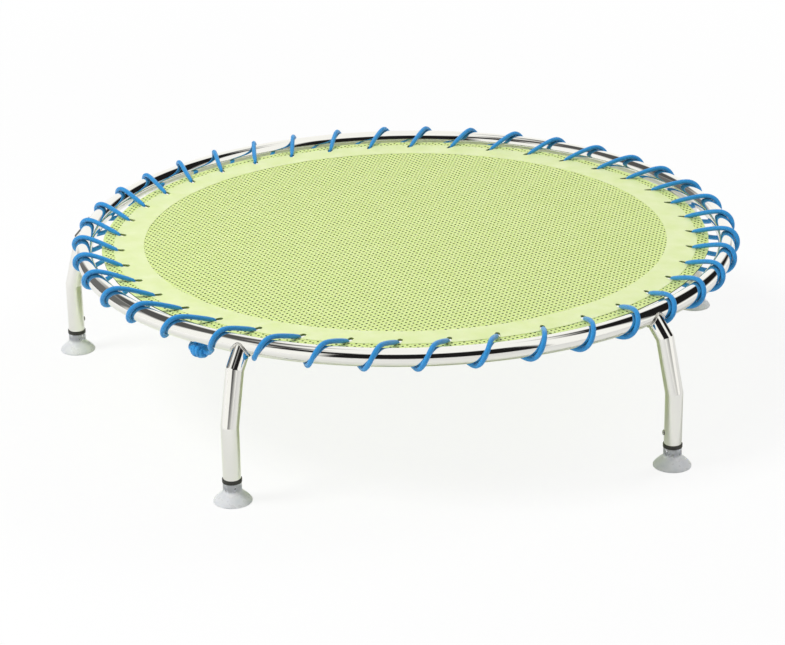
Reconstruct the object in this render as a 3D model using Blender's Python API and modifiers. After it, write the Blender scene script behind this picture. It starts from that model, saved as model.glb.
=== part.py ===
"""Aqua trampoline for a pool: a polished steel ring on five mitred legs with suction
cups, and a round perforated mat that one elastic cord laces into the ring.

Metres, +Z up. Heights are counted from the pool floor, and at the end one empty
lowers the whole model, so that the origin is the middle of the mat's upper face.
Leg 1 stands at -Y. Angles are in degrees and run anticlockwise seen from above.
"""

import math

import bmesh
import bpy
from mathutils import Matrix, Vector

# Ring
RING_RADIUS = 0.482
RING_TUBE_DIAMETER = 0.0254
RING_WALL = 0.0015
RING_HEIGHT = 0.215
RING_STEPS = 60
RING_SIDES = 12
RING_BORE_SIDES = 6

# Legs: a stub leaves the ring outwards, two mitre joints bring it down to a plumb foot
LEG_COUNT = 5
LEG_1_ANGLE = -90.0
LEG_TUBE_DIAMETER = 0.025
LEG_WALL = 0.0015
STUB_OUT = 0.024
STUB_DROP = 0.028
SLOPE_OUT = 0.019
SLOPE_DROP = 0.077
LEG_END_HEIGHT = 0.031
LEG_SIDES = 16
WELD_RADIUS = 0.0015
WELD_OVERHANG = 0.0005
WELD_POINTS = 12
DRAIN_DIAMETER = 0.014

# Foot plug, held by one screw on the side that faces the ring's axis
PLUG_FLANGE_DIAMETER = 0.0275
PLUG_FLANGE_THICKNESS = 0.004
PLUG_DEPTH = 0.029
PLUG_CHAMFER = 0.0012
PLUG_SIDES = 12
SCREW_HEIGHT = 0.050
SCREW_DIAMETER = 0.0042
SCREW_HEAD_DIAMETER = 0.008
SCREW_HEAD_HEIGHT = 0.0028
SCREW_BITE = 0.007

# Suction cup and the stud that holds it
CUP_DIAMETER = 0.054
CUP_RIM_WIDTH = 0.0035
CUP_RIM_EDGE = 0.0015
CUP_NECK_DIAMETER = 0.025
CUP_NECK_HEIGHT = 0.007
CUP_HOLLOW_DEPTH = 0.0075
CUP_LIP = 0.0034
CUP_SIDES = 16
STUD_DIAMETER = 0.008
STUD_HEAD_ACROSS_FLATS = 0.013
STUD_HEAD_THICKNESS = 0.0055
STUD_ENGAGEMENT = 0.017

# Mat, sized by the gap that it leaves inside the ring; insets are from its edge
MAT_GAP = 0.0133
MAT_THICKNESS = 0.0012
BAND_INSET = 0.018
BAND_WIDTH = 0.045
BAND_THICKNESS = 0.0005
HOLE_COUNT = 40
HOLE_INSET = 0.026
HOLE_DIAMETER = 0.012
HOLE_SIDES = 6
HOLE_LAG = -1.25
MAT_SIDES = 60

# Lacing cord, one length that runs clockwise seen from above
CORD_DIAMETER = 0.007
CORD_TURN_POINTS = 7
HOLE_BEND_SLACK = 0.0005
LAST_TURN_PACE = 0.78
LEAD_TURNS = (1.1, 0.6)
LEAD_INSET = 1.6
LEAD_SAG = 2.4
KNOT_LEAD = 7.2
KNOT_LENGTH = 0.017
KNOT_DIAMETER = 0.021
KNOT_TURNS = 2
TAIL_LENGTH = 0.016

# Clearances
SEAT_GAP = 0.0003
STUD_CLEARANCE = 0.00035
CORD_CLEARANCE = 0.0003

TAU = 2.0 * math.pi
COLOURS = {
    "polished_steel": ((0.80, 0.80, 0.79), 0.12, 1.0),
    "black_plastic": ((0.022, 0.022, 0.020), 0.45, 0.0),
    "clear_rubber": ((0.55, 0.58, 0.60), 0.30, 0.0),
    "mat_mesh": ((0.54, 0.74, 0.22), 0.60, 0.0),
    "mat_band": ((0.70, 0.82, 0.38), 0.50, 0.0),
    "blue_cord": ((0.03, 0.26, 0.66), 0.60, 0.0),
}


def clear_scene():
    """Remove whatever the file holds, so that the model stands alone."""
    for obj in list(bpy.data.objects):
        bpy.data.objects.remove(obj, do_unlink=True)


def make_collection(name):
    """Add a collection to the scene."""
    group = bpy.data.collections.new(name)
    bpy.context.scene.collection.children.link(group)
    return group


def material(name):
    """Return the material of one finish, made the first time it is asked for."""
    if name in bpy.data.materials:
        return bpy.data.materials[name]
    colour, roughness, metallic = COLOURS[name]
    made = bpy.data.materials.new(name)
    made.use_nodes = True
    shader = made.node_tree.nodes["Principled BSDF"]
    shader.inputs["Base Color"].default_value = (*colour, 1.0)
    shader.inputs["Roughness"].default_value = roughness
    shader.inputs["Metallic"].default_value = metallic
    return made


def add_object(name, data, group):
    """Put a mesh or a curve into the scene as an object."""
    obj = bpy.data.objects.new(name, data)
    group.objects.link(obj)
    return obj


def hide_cutter(obj):
    """Show a cutter as wire and keep it out of the finished model."""
    obj.hide_render = True
    obj.display_type = "WIRE"


def as_mesh(obj, weld=False):
    """Return the finished mesh of an object, with its modifiers applied."""
    graph = bpy.context.evaluated_depsgraph_get()
    mesh = bpy.data.meshes.new_from_object(obj.evaluated_get(graph))
    if weld:
        shape = bmesh.new()
        shape.from_mesh(mesh)
        bmesh.ops.remove_doubles(shape, verts=shape.verts, dist=0.000005)
        bmesh.ops.recalc_face_normals(shape, faces=shape.faces)
        shape.to_mesh(mesh)
        shape.free()
    return mesh


def settle(obj, smooth_below=35.0):
    """Apply an object's modifiers and shade its round faces smooth."""
    mesh = as_mesh(obj)
    obj.modifiers.clear()
    obj.data = mesh
    mesh.shade_smooth()
    mesh.set_sharp_from_angle(angle=math.radians(smooth_below))
    return obj


def combine(target, cutter, operation):
    """Cut one solid with another, or join them."""
    hide_cutter(cutter)
    step = target.modifiers.new(operation.lower(), "BOOLEAN")
    step.operation = operation
    step.solver = "EXACT"
    step.object = cutter


def make_tube(name, points, radius, group, sides=6, closed=False, capped=True):
    """Sweep a round section along straight runs and weld its end caps."""
    curve = bpy.data.curves.new(name, "CURVE")
    curve.dimensions = "3D"
    curve.bevel_depth = radius
    curve.bevel_resolution = (sides - 4) // 2
    curve.use_fill_caps = capped and not closed
    line = curve.splines.new("POLY")
    line.points.add(len(points) - 1)
    for spot, place in zip(line.points, points):
        spot.co = (*place, 1.0)
    line.use_cyclic_u = closed
    sweep = add_object(name + "_path", curve, group)
    mesh = as_mesh(sweep, weld=True)
    bpy.data.objects.remove(sweep, do_unlink=True)
    return add_object(name, mesh, group)


def make_turned(name, profile, steps, group):
    """Turn a profile of radius and height about its own Z axis."""
    mesh = bpy.data.meshes.new(name)
    edges = [(i, i + 1) for i in range(len(profile) - 1)]
    mesh.from_pydata([(r, 0.0, z) for r, z in profile], edges, [])
    obj = add_object(name, mesh, group)
    screw = obj.modifiers.new("turn", "SCREW")
    screw.angle = TAU
    screw.steps = steps
    screw.render_steps = steps
    screw.use_merge_vertices = True
    screw.merge_threshold = 0.00001
    return settle(obj)


def make_cylinder(name, radius, height, sides, group):
    """Make an upright cylinder or prism about the origin."""
    mesh = bpy.data.meshes.new(name)
    shape = bmesh.new()
    bmesh.ops.create_cone(
        shape, cap_ends=True, segments=sides, radius1=radius, radius2=radius, depth=height
    )
    shape.to_mesh(mesh)
    shape.free()
    return add_object(name, mesh, group)


def make_torus(name, tube_radius, sides, group):
    """Make a closed ring round the trampoline's axis at the height of the frame."""
    bpy.ops.mesh.primitive_torus_add(
        major_segments=RING_STEPS,
        minor_segments=sides,
        major_radius=RING_RADIUS,
        minor_radius=tube_radius,
        location=(0.0, 0.0, RING_HEIGHT),
    )
    obj = bpy.context.active_object
    obj.name = name
    for holder in list(obj.users_collection):
        holder.objects.unlink(obj)
    group.objects.link(obj)
    return obj


def around(angle, radius, height):
    """Return the point at an angle and radius about the trampoline's axis."""
    turn = math.radians(angle)
    return Vector((radius * math.cos(turn), radius * math.sin(turn), height))


def leg_angle(number):
    """Return where a leg stands; leg 1 is the first."""
    return LEG_1_ANGLE + (number - 1) * 360.0 / LEG_COUNT


def foot_radius():
    """Return the radius of the circle on which the feet stand."""
    return RING_RADIUS + STUB_OUT + SLOPE_OUT


def leg_seat():
    """Return where a leg's centre line starts, on the ring's centre line."""
    return Vector((RING_RADIUS, 0.0, RING_HEIGHT))


def stub_direction():
    """Return the direction in which a leg leaves the ring."""
    return Vector((STUB_OUT, 0.0, -STUB_DROP)).normalized()


def leg_line():
    """Return the leg's centre line: from the ring's, over both joints, to its lower end."""
    upper_joint = leg_seat() + Vector((STUB_OUT, 0.0, -STUB_DROP))
    lower_joint = upper_joint + Vector((SLOPE_OUT, 0.0, -SLOPE_DROP))
    return [leg_seat(), upper_joint, lower_joint, Vector((lower_joint.x, 0.0, LEG_END_HEIGHT))]


def place_copies(name, mesh, finish, group, at_foot):
    """Put one copy of a repeated piece at each leg."""
    for number in range(1, LEG_COUNT + 1):
        obj = add_object(f"{name}_{number}", mesh, group)
        angle = leg_angle(number)
        obj.rotation_euler.z = math.radians(angle)
        if at_foot:
            obj.location = around(angle, foot_radius(), 0.0)
        if not mesh.materials:
            mesh.materials.append(material(finish))


def build_ring(parts, cutters):
    """Bend the ring tube, with a drain hole into each leg."""
    ring = make_torus("ring_tube", RING_TUBE_DIAMETER / 2, RING_SIDES, parts)
    bore_radius = RING_TUBE_DIAMETER / 2 - RING_WALL
    combine(ring, make_torus("ring_bore", bore_radius, RING_BORE_SIDES, cutters), "DIFFERENCE")
    drain_end = leg_seat() + stub_direction() * RING_TUBE_DIAMETER
    for number in range(1, LEG_COUNT + 1):
        turn = Matrix.Rotation(math.radians(leg_angle(number)), 4, "Z")
        ends = [turn @ leg_seat(), turn @ drain_end]
        drain = make_tube(f"drain_{number}", ends, DRAIN_DIAMETER / 2, cutters, sides=8)
        combine(ring, drain, "DIFFERENCE")
    settle(ring)
    ring.data.materials.append(material("polished_steel"))


def ring_distance(spot):
    """Return how far a point near a leg's seat lies from the ring's centre line.

    The ring's straight steps meet in a corner at each leg's seat.
    """
    half_corner = math.tan(math.pi / RING_STEPS)
    return math.hypot(spot.x + abs(spot.y) * half_corner - RING_RADIUS, spot.z - RING_HEIGHT)


def slide_to_ring(start, distance):
    """Slide a point down the stub until it lies that far from the ring's centre line."""
    near, far = 0.0, 2.0 * distance
    for _ in range(30):
        middle = (near + far) / 2
        if ring_distance(start + stub_direction() * middle) < distance:
            near = middle
        else:
            far = middle
    return start + stub_direction() * far


def mitre_joints(mesh):
    """Widen the sections at both joints, where round tube is cut at an angle."""
    line = leg_line()
    for before, joint, after in zip(line, line[1:], line[2:]):
        incoming = (joint - before).normalized()
        outgoing = (after - joint).normalized()
        cut = (incoming + outgoing).normalized()
        inward = (outgoing - incoming).normalized()
        widening = 1.0 / math.cos(incoming.angle(outgoing) / 2) - 1.0
        for vertex in mesh.vertices:
            offset = vertex.co - joint
            if abs(offset.dot(cut)) < SEAT_GAP:
                vertex.co += inward * offset.dot(inward) * widening


def cope_end(mesh):
    """Shape the leg's upper end into the saddle that seats on the ring tube."""
    stub = stub_direction()
    seat = (RING_TUBE_DIAMETER / 2 + SEAT_GAP) / math.cos(math.pi / LEG_SIDES)
    for vertex in mesh.vertices:
        along = (vertex.co - leg_seat()).dot(stub)
        if along < SEAT_GAP:
            vertex.co = slide_to_ring(vertex.co - stub * along, seat)


def weld_line():
    """Follow the corner between the leg's outside and the ring's outside."""
    across = Vector((0.0, 1.0, 0.0))
    upward = stub_direction().cross(across).normalized()
    from_leg = LEG_TUBE_DIAMETER / 2 + WELD_OVERHANG
    from_ring = (RING_TUBE_DIAMETER / 2 + SEAT_GAP + WELD_RADIUS) / math.cos(math.pi / WELD_POINTS)
    points = []
    for step in range(WELD_POINTS):
        turn = TAU * (step + 0.5) / WELD_POINTS
        side = across * math.sin(turn) + upward * math.cos(turn)
        points.append(slide_to_ring(leg_seat() + side * from_leg, from_ring))
    return points


def build_legs(parts, cutters):
    """Make one hollow mitred leg with its weld, and repeat it round the ring."""
    leg = make_tube(
        "leg", leg_line(), LEG_TUBE_DIAMETER / 2, cutters, sides=LEG_SIDES, capped=False
    )
    mitre_joints(leg.data)
    wall = leg.modifiers.new("wall", "SOLIDIFY")
    wall.thickness = LEG_WALL
    wall.offset = -1.0
    wall.use_even_offset = True
    settle(leg)
    cope_end(leg.data)
    weld = make_tube("weld", weld_line(), WELD_RADIUS, cutters, sides=4, closed=True)
    combine(leg, weld, "UNION")
    inner_side = foot_radius() - LEG_TUBE_DIAMETER / 2
    ends = [
        Vector((inner_side - LEG_WALL, 0.0, SCREW_HEIGHT)),
        Vector((inner_side + 2 * LEG_WALL, 0.0, SCREW_HEIGHT)),
    ]
    hole_radius = SCREW_DIAMETER / 2 + SEAT_GAP
    combine(leg, make_tube("screw_hole", ends, hole_radius, cutters, sides=8), "DIFFERENCE")
    settle(leg)
    hide_cutter(leg)
    place_copies("leg", leg.data, "polished_steel", parts, at_foot=False)


def build_plugs(parts, cutters):
    """Turn the plug that closes a leg's lower end and takes the cup's stud."""
    top = LEG_END_HEIGHT + PLUG_DEPTH
    body = LEG_TUBE_DIAMETER / 2 * math.cos(math.pi / LEG_SIDES) - LEG_WALL - SEAT_GAP
    flange = PLUG_FLANGE_DIAMETER / 2
    flange_top = LEG_END_HEIGHT - SEAT_GAP
    flange_bottom = LEG_END_HEIGHT - PLUG_FLANGE_THICKNESS
    bore = STUD_DIAMETER / 2 + STUD_CLEARANCE
    bore_top = stud_top() + 2 * SEAT_GAP
    profile = [
        (0.0, top),
        (body - PLUG_CHAMFER, top),
        (body, top - PLUG_CHAMFER),
        (body, flange_top),
        (flange, flange_top),
        (flange, flange_bottom + PLUG_CHAMFER / 2),
        (flange - PLUG_CHAMFER / 2, flange_bottom),
        (bore, flange_bottom),
        (bore, bore_top),
        (0.0, bore_top),
    ]
    plug = make_turned("plug", profile, PLUG_SIDES, cutters)
    pilot_depth = SCREW_BITE - LEG_WALL + 3 * SEAT_GAP
    inner = -LEG_TUBE_DIAMETER / 2
    ends = [
        Vector((inner, 0.0, SCREW_HEIGHT)),
        Vector((inner + LEG_WALL + pilot_depth, 0.0, SCREW_HEIGHT)),
    ]
    hole_radius = SCREW_DIAMETER / 2 + SEAT_GAP
    combine(plug, make_tube("pilot_hole", ends, hole_radius, cutters, sides=8), "DIFFERENCE")
    settle(plug)
    hide_cutter(plug)
    place_copies("leg_plug", plug.data, "black_plastic", parts, at_foot=True)


def build_plug_screws(parts, cutters):
    """Turn the domed screw that pins each plug, and lay it on its side."""
    head = SCREW_HEAD_DIAMETER / 2
    shank = SCREW_DIAMETER / 2
    profile = [(0.0, SCREW_HEAD_HEIGHT)]
    for angle in (60.0, 30.0, 0.0):
        turn = math.radians(angle)
        profile.append((head * math.cos(turn), SCREW_HEAD_HEIGHT * math.sin(turn)))
    profile += [(shank, 0.0), (shank, -SCREW_BITE), (0.0, -SCREW_BITE)]
    screw = make_turned("screw", profile, 8, cutters)
    out_of_leg = LEG_TUBE_DIAMETER / 2 + SEAT_GAP
    seat = Matrix.Translation((-out_of_leg, 0.0, SCREW_HEIGHT))
    screw.data.transform(seat @ Matrix.Rotation(-math.pi / 2, 4, "Y"))
    hide_cutter(screw)
    place_copies("plug_screw", screw.data, "polished_steel", parts, at_foot=True)


def cup_top():
    """Return the height of the cup's neck, just under the plug's flange."""
    return LEG_END_HEIGHT - PLUG_FLANGE_THICKNESS - SEAT_GAP


def stud_head_bottom():
    """Return the height on which the stud's head sits inside the neck."""
    return cup_top() - CUP_LIP - SEAT_GAP - STUD_HEAD_THICKNESS


def stud_top():
    """Return the height of the stud's upper end inside the plug."""
    return LEG_END_HEIGHT - PLUG_FLANGE_THICKNESS + STUD_ENGAGEMENT


def build_cups(parts, cutters):
    """Turn the bell of the suction cup, hollow below and with a pocket for the stud."""
    neck = CUP_NECK_DIAMETER / 2
    rim = CUP_DIAMETER / 2
    top = cup_top()
    shoulder = top - CUP_NECK_HEIGHT
    pocket = STUD_HEAD_ACROSS_FLATS / 2 / math.cos(math.pi / 6) + SEAT_GAP
    pocket /= math.cos(math.pi / CUP_SIDES)
    mouth = (STUD_DIAMETER / 2 + SEAT_GAP) / math.cos(math.pi / CUP_SIDES)
    pocket_floor = stud_head_bottom() - SEAT_GAP
    profile = [
        (0.0, pocket_floor),
        (pocket, pocket_floor),
        (pocket, top - CUP_LIP),
        (mouth, top - CUP_LIP),
        (mouth, top),
        (neck, top),
    ]
    flare = 4
    for step in range(flare + 1):
        share = step / flare
        turn = share * math.pi / 2
        across = neck + (rim - neck) * (0.45 * share + 0.55 * (1.0 - math.cos(turn)))
        down = shoulder - (shoulder - CUP_RIM_EDGE) * (0.45 * share + 0.55 * math.sin(turn))
        profile.append((across, down))
    hollow = rim - CUP_RIM_WIDTH
    profile += [(rim, 0.0), (hollow, 0.0)]
    for angle in (30.0, 60.0):
        turn = math.radians(angle)
        profile.append((hollow * math.cos(turn), CUP_HOLLOW_DEPTH * math.sin(turn)))
    profile.append((0.0, CUP_HOLLOW_DEPTH))
    cup = make_turned("cup", profile, CUP_SIDES, cutters)
    hide_cutter(cup)
    place_copies("suction_cup", cup.data, "clear_rubber", parts, at_foot=True)


def build_studs(parts, cutters):
    """Make the hexagon-headed stud that joins a cup to its plug."""
    head_bottom = stud_head_bottom()
    shank_length = stud_top() - head_bottom - STUD_HEAD_THICKNESS / 2
    corner = STUD_HEAD_ACROSS_FLATS / 2 / math.cos(math.pi / 6)
    stud = make_cylinder("stud", corner, STUD_HEAD_THICKNESS, 6, cutters)
    stud.location.z = head_bottom + STUD_HEAD_THICKNESS / 2
    shank = make_cylinder("stud_shank", STUD_DIAMETER / 2, shank_length, 10, cutters)
    shank.location.z = stud_top() - shank_length / 2
    combine(stud, shank, "UNION")
    settle(stud)
    stud.data.transform(Matrix.Translation(stud.location))
    hide_cutter(stud)
    place_copies("cup_stud", stud.data, "polished_steel", parts, at_foot=True)


def hole_angle(number):
    """Return where a lacing hole lies; holes count clockwise seen from above."""
    return LEG_1_ANGLE + HOLE_LAG - number * 360.0 / HOLE_COUNT


def mat_radius():
    """Return the radius of the mat's edge, inside the ring tube."""
    return RING_RADIUS - RING_TUBE_DIAMETER / 2 - MAT_GAP


def hole_circle():
    """Return the radius of the circle on which the lacing holes lie."""
    return mat_radius() - HOLE_INSET


def mat_top():
    """Return the height of the mat's upper face, with which the band lies flush."""
    return RING_HEIGHT + MAT_THICKNESS / 2


def mat_bottom():
    """Return the height of the mat's lower face."""
    return RING_HEIGHT - MAT_THICKNESS / 2


def punch_holes(sheet, cutters):
    """Cut the lacing holes through one layer of the mat."""
    shape = bmesh.new()
    radius = HOLE_DIAMETER / 2 / math.cos(math.pi / HOLE_SIDES)
    for number in range(HOLE_COUNT):
        angle = hole_angle(number)
        place = Matrix.Translation(around(angle, hole_circle(), 0.0))
        turn = Matrix.Rotation(math.radians(angle + 180.0 / HOLE_SIDES), 4, "Z")
        bmesh.ops.create_cone(
            shape,
            cap_ends=True,
            segments=HOLE_SIDES,
            radius1=radius,
            radius2=radius,
            depth=10 * MAT_THICKNESS,
            matrix=place @ turn,
        )
    mesh = bpy.data.meshes.new("punches")
    shape.to_mesh(mesh)
    shape.free()
    punches = add_object("punches_" + sheet.name, mesh, cutters)
    punches.location = sheet.location
    combine(sheet, punches, "DIFFERENCE")


def make_band(name, outer, inner, thickness, group, cutters):
    """Make a flat ring whose upper face lies flush with the mat's."""
    band = make_cylinder(name, outer, thickness, MAT_SIDES, group)
    band.location.z = mat_top() - thickness / 2
    inside = make_cylinder(name + "_inside", inner, 4 * thickness, MAT_SIDES, cutters)
    inside.location = band.location
    combine(band, inside, "DIFFERENCE")
    return band


def build_mat(parts, cutters):
    """Cut the round mesh mat, and weld the smooth band into its upper face."""
    outer = mat_radius() - BAND_INSET
    inner = outer - BAND_WIDTH
    band = make_band("mat_band", outer, inner, BAND_THICKNESS, parts, cutters)
    punch_holes(band, cutters)
    settle(band)
    band.data.materials.append(material("mat_band"))
    depth = BAND_THICKNESS + SEAT_GAP
    recess = make_band("recess", outer + SEAT_GAP, inner - SEAT_GAP, 2 * depth, cutters, cutters)
    recess.location.z = mat_top()
    settle(recess)
    mat = make_cylinder("mat_mesh", mat_radius(), MAT_THICKNESS, MAT_SIDES, parts)
    mat.location.z = RING_HEIGHT
    combine(mat, recess, "DIFFERENCE")
    punch_holes(mat, cutters)
    settle(mat)
    mat.data.materials.append(material("mat_mesh"))


def cord_turn():
    """Return one turn's radii, heights and shares of the pitch, hole to hole.

    The cord bends round the hole's outer rim, runs up to the ring tube, lies round
    it, and comes back under the mat. It gains on the pitch in step with its length.
    """
    cord = CORD_DIAMETER / 2
    rim = hole_circle() + HOLE_DIAMETER / 2
    bend = cord + CORD_CLEARANCE + HOLE_BEND_SLACK
    section = []
    for angle in (160.0, 110.0):
        turn = math.radians(angle)
        section.append((rim + bend * math.cos(turn), mat_top() + bend * math.sin(turn)))
    reach = RING_TUBE_DIAMETER / 2 + cord + CORD_CLEARANCE
    slope = math.atan2(RING_TUBE_DIAMETER / 2, RING_RADIUS - rim)
    first = math.pi / 2 + slope
    step = 2.0 * first / (CORD_TURN_POINTS - 1)
    reach /= math.cos(step / 2)
    for number in range(CORD_TURN_POINTS):
        turn = first - number * step
        across = RING_RADIUS + reach * math.cos(turn)
        section.append((across, RING_HEIGHT + reach * math.sin(turn)))
    for angle in (-110.0, -160.0):
        turn = math.radians(angle)
        section.append((rim + bend * math.cos(turn), mat_bottom() + bend * math.sin(turn)))
    lengths = [0.0]
    for (r0, z0), (r1, z1) in zip(section, section[1:]):
        lengths.append(lengths[-1] + math.hypot(r1 - r0, z1 - z0))
    return [(r, z, run / lengths[-1]) for (r, z), run in zip(section, lengths)]


def smooth_line(points, steps):
    """Read a smooth curve through points, leaving out its first and last run."""
    line = []
    for a, b, c, d in zip(points, points[1:], points[2:], points[3:]):
        for step in range(steps):
            t = step / steps
            line.append(
                0.5
                * (
                    2 * b
                    + (c - a) * t
                    + (2 * a - 5 * b + 4 * c - d) * t * t
                    + (3 * b - a - 3 * c + d) * t * t * t
                )
            )
    line.append(points[-2])
    return line


def knot_angle():
    """Return where the knot lies under the ring."""
    return LEG_1_ANGLE + HOLE_LAG - KNOT_LEAD


def knot_place(along):
    """Return a point on the knot's axis; along is positive anticlockwise."""
    height = RING_HEIGHT - RING_TUBE_DIAMETER / 2 - KNOT_DIAMETER / 2 - SEAT_GAP
    turn = math.radians(knot_angle())
    middle = around(knot_angle(), RING_RADIUS, height)
    return middle + Vector((-math.sin(turn), math.cos(turn), 0.0)) * along


def cord_route():
    """Follow the cord from the knot, once round the ring, and back to the knot."""
    turn = cord_turn()
    pitch = 360.0 / HOLE_COUNT
    laces = []
    for number in range(1, HOLE_COUNT + 1):
        last = number == HOLE_COUNT
        pace = LAST_TURN_PACE if last else 1.0
        places = turn[:-2] if last else turn
        for radius, height, share in places:
            laces.append(around(hole_angle(number) - share * pace * pitch, radius, height))
    end = KNOT_LENGTH / 2 + SEAT_GAP
    straight = CORD_DIAMETER
    first_hole = hole_angle(1)
    under_hole = around(first_hole, *turn[-2][:2])
    in_hole = around(first_hole, *turn[-1][:2])
    corner_turn, halfway_turn = LEAD_TURNS
    halfway = around(
        first_hole - halfway_turn,
        (RING_RADIUS + hole_circle()) / 2,
        mat_bottom() - LEAD_SAG * CORD_DIAMETER,
    )
    corner = around(
        first_hole - corner_turn,
        RING_RADIUS - LEAD_INSET * CORD_DIAMETER,
        knot_place(0.0).z + CORD_DIAMETER / 3,
    )
    lead_in = [
        knot_place(-end),
        knot_place(-end - straight),
        corner,
        halfway,
        under_hole,
        in_hole,
    ]
    lead_in = [lead_in[0]] + smooth_line(lead_in, 4) + [in_hole]
    lead_out = [
        laces[-2],
        laces[-1],
        knot_place(end + straight),
        knot_place(end),
    ]
    lead_out = smooth_line(lead_out, 4)[1:] + [knot_place(end)]
    return lead_in + laces + lead_out


def least_self_gap(line, diameter):
    """Measure the narrowest gap between parts of the cord that aren't neighbours."""
    spots = []
    for start, stop in zip(line, line[1:]):
        count = max(1, math.ceil((stop - start).length / (diameter / 3)))
        spots += [start.lerp(stop, step / count) for step in range(count)]
    runs = [0.0]
    for start, stop in zip(spots, spots[1:]):
        runs.append(runs[-1] + (stop - start).length)
    least = math.inf
    near = 3.0 * diameter
    for i, spot in enumerate(spots):
        for j in range(i + 1, len(spots)):
            if runs[j] - runs[i] > near:
                least = min(least, (spots[j] - spot).length - diameter)
    return least


def build_cord(parts):
    """Lace the cord through every hole as one unbroken tube."""
    route = cord_route()
    gap = least_self_gap(route, CORD_DIAMETER)
    length = sum((stop - start).length for start, stop in zip(route, route[1:]))
    print(f"lacing cord: {length:.3f} m long, least gap to itself {gap * 1000:.2f} mm")
    cord = make_tube("lace_cord", route, CORD_DIAMETER / 2, parts, sides=6)
    cord.data.shade_smooth()
    cord.data.materials.append(material("blue_cord"))


def build_knot(parts, cutters):
    """Tie the cord's ends under the ring: turns side by side, and two short tails."""
    ends = KNOT_LENGTH / 2
    core = CORD_DIAMETER / 2
    waist = KNOT_DIAMETER / 2 - CORD_DIAMETER / 3
    profile = [(0.0, ends), (core, ends)]
    count = 4 * KNOT_TURNS
    for step in range(1, count):
        share = step / count
        bulge = abs(math.sin(share * KNOT_TURNS * math.pi))
        radius = waist + (KNOT_DIAMETER / 2 - waist) * bulge
        profile.append((radius, ends * math.cos(share * math.pi)))
    profile += [(core, -ends), (0.0, -ends)]
    knot = make_turned("lace_knot", profile, 12, parts)
    axis = (knot_place(1.0) - knot_place(0.0)).normalized()
    turn = axis.to_track_quat("Z", "Y").to_matrix().to_4x4()
    knot.data.transform(Matrix.Translation(knot_place(0.0)) @ turn)
    inward = -around(knot_angle(), 1.0, 0.0)
    tails = ((1.0, -0.35), (-1.0, -0.75))
    for number, (side, drop) in enumerate(tails, 1):
        start = knot_place(side * KNOT_LENGTH / 4) + inward * KNOT_DIAMETER / 4
        lean = (axis * side + inward * 0.9 + Vector((0.0, 0.0, drop))).normalized()
        points = [start, start + lean * (KNOT_DIAMETER / 4 + TAIL_LENGTH)]
        tail = make_tube(f"tail_{number}", points, CORD_DIAMETER / 2 * 0.96, cutters, sides=6)
        combine(knot, tail, "UNION")
    settle(knot)
    knot.data.materials.append(material("blue_cord"))


def set_origin(parts):
    """Hang every piece on one empty that puts the origin in the middle of the mat."""
    stand = add_object("trampoline", None, parts)
    stand.location.z = -mat_top()
    for obj in parts.objects:
        if obj is not stand:
            obj.parent = stand


def main():
    clear_scene()
    parts = make_collection("aqua_trampoline")
    cutters = make_collection("cutters")
    build_ring(parts, cutters)
    build_legs(parts, cutters)
    build_plugs(parts, cutters)
    build_plug_screws(parts, cutters)
    build_cups(parts, cutters)
    build_studs(parts, cutters)
    build_mat(parts, cutters)
    build_cord(parts)
    build_knot(parts, cutters)
    set_origin(parts)


main()
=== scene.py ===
"""Looks of the aqua trampoline: every visible piece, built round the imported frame.

Sizes are in metres, angles in degrees. The origin is the middle of the mat's upper
face, and leg 1 stands at -Y. Pieces that repeat are made once at +X and turned.
"""

import math
import random
from contextlib import contextmanager

import bmesh
import bpy
from bpy.props import FloatProperty, FloatVectorProperty, IntProperty, PointerProperty
from mathutils import Matrix, Vector
from mathutils.geometry import delaunay_2d_cdt


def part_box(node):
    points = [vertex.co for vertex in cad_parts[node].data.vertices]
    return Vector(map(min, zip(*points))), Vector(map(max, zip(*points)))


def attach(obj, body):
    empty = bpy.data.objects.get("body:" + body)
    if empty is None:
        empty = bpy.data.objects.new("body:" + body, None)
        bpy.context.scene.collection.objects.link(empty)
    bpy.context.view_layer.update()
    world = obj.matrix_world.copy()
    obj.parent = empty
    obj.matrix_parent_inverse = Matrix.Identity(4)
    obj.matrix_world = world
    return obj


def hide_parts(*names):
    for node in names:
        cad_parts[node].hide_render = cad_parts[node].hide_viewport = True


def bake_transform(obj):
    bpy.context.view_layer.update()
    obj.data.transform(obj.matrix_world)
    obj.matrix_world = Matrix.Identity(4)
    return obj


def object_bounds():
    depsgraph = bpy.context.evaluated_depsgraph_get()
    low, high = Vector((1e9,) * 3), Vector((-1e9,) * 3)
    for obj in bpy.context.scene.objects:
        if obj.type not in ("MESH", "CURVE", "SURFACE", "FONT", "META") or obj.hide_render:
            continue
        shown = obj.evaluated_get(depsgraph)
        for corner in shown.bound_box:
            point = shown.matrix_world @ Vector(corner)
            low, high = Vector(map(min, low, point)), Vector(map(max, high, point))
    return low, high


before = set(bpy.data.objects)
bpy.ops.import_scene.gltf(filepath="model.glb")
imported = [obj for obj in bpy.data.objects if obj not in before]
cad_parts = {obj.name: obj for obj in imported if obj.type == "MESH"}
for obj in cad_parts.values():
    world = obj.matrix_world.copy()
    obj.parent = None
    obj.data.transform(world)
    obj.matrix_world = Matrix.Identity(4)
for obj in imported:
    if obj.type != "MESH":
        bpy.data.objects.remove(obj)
CAD_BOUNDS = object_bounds()

bl_info = {
    "name": "Aqua trampoline",
    "version": (1, 0, 0),
    "blender": (4, 5, 0),
    "location": "3D View > Sidebar > Trampoline",
    "description": "Builds a pool trampoline: polished frame, laced mesh mat and suction cups",
    "category": "Object",
}

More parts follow.
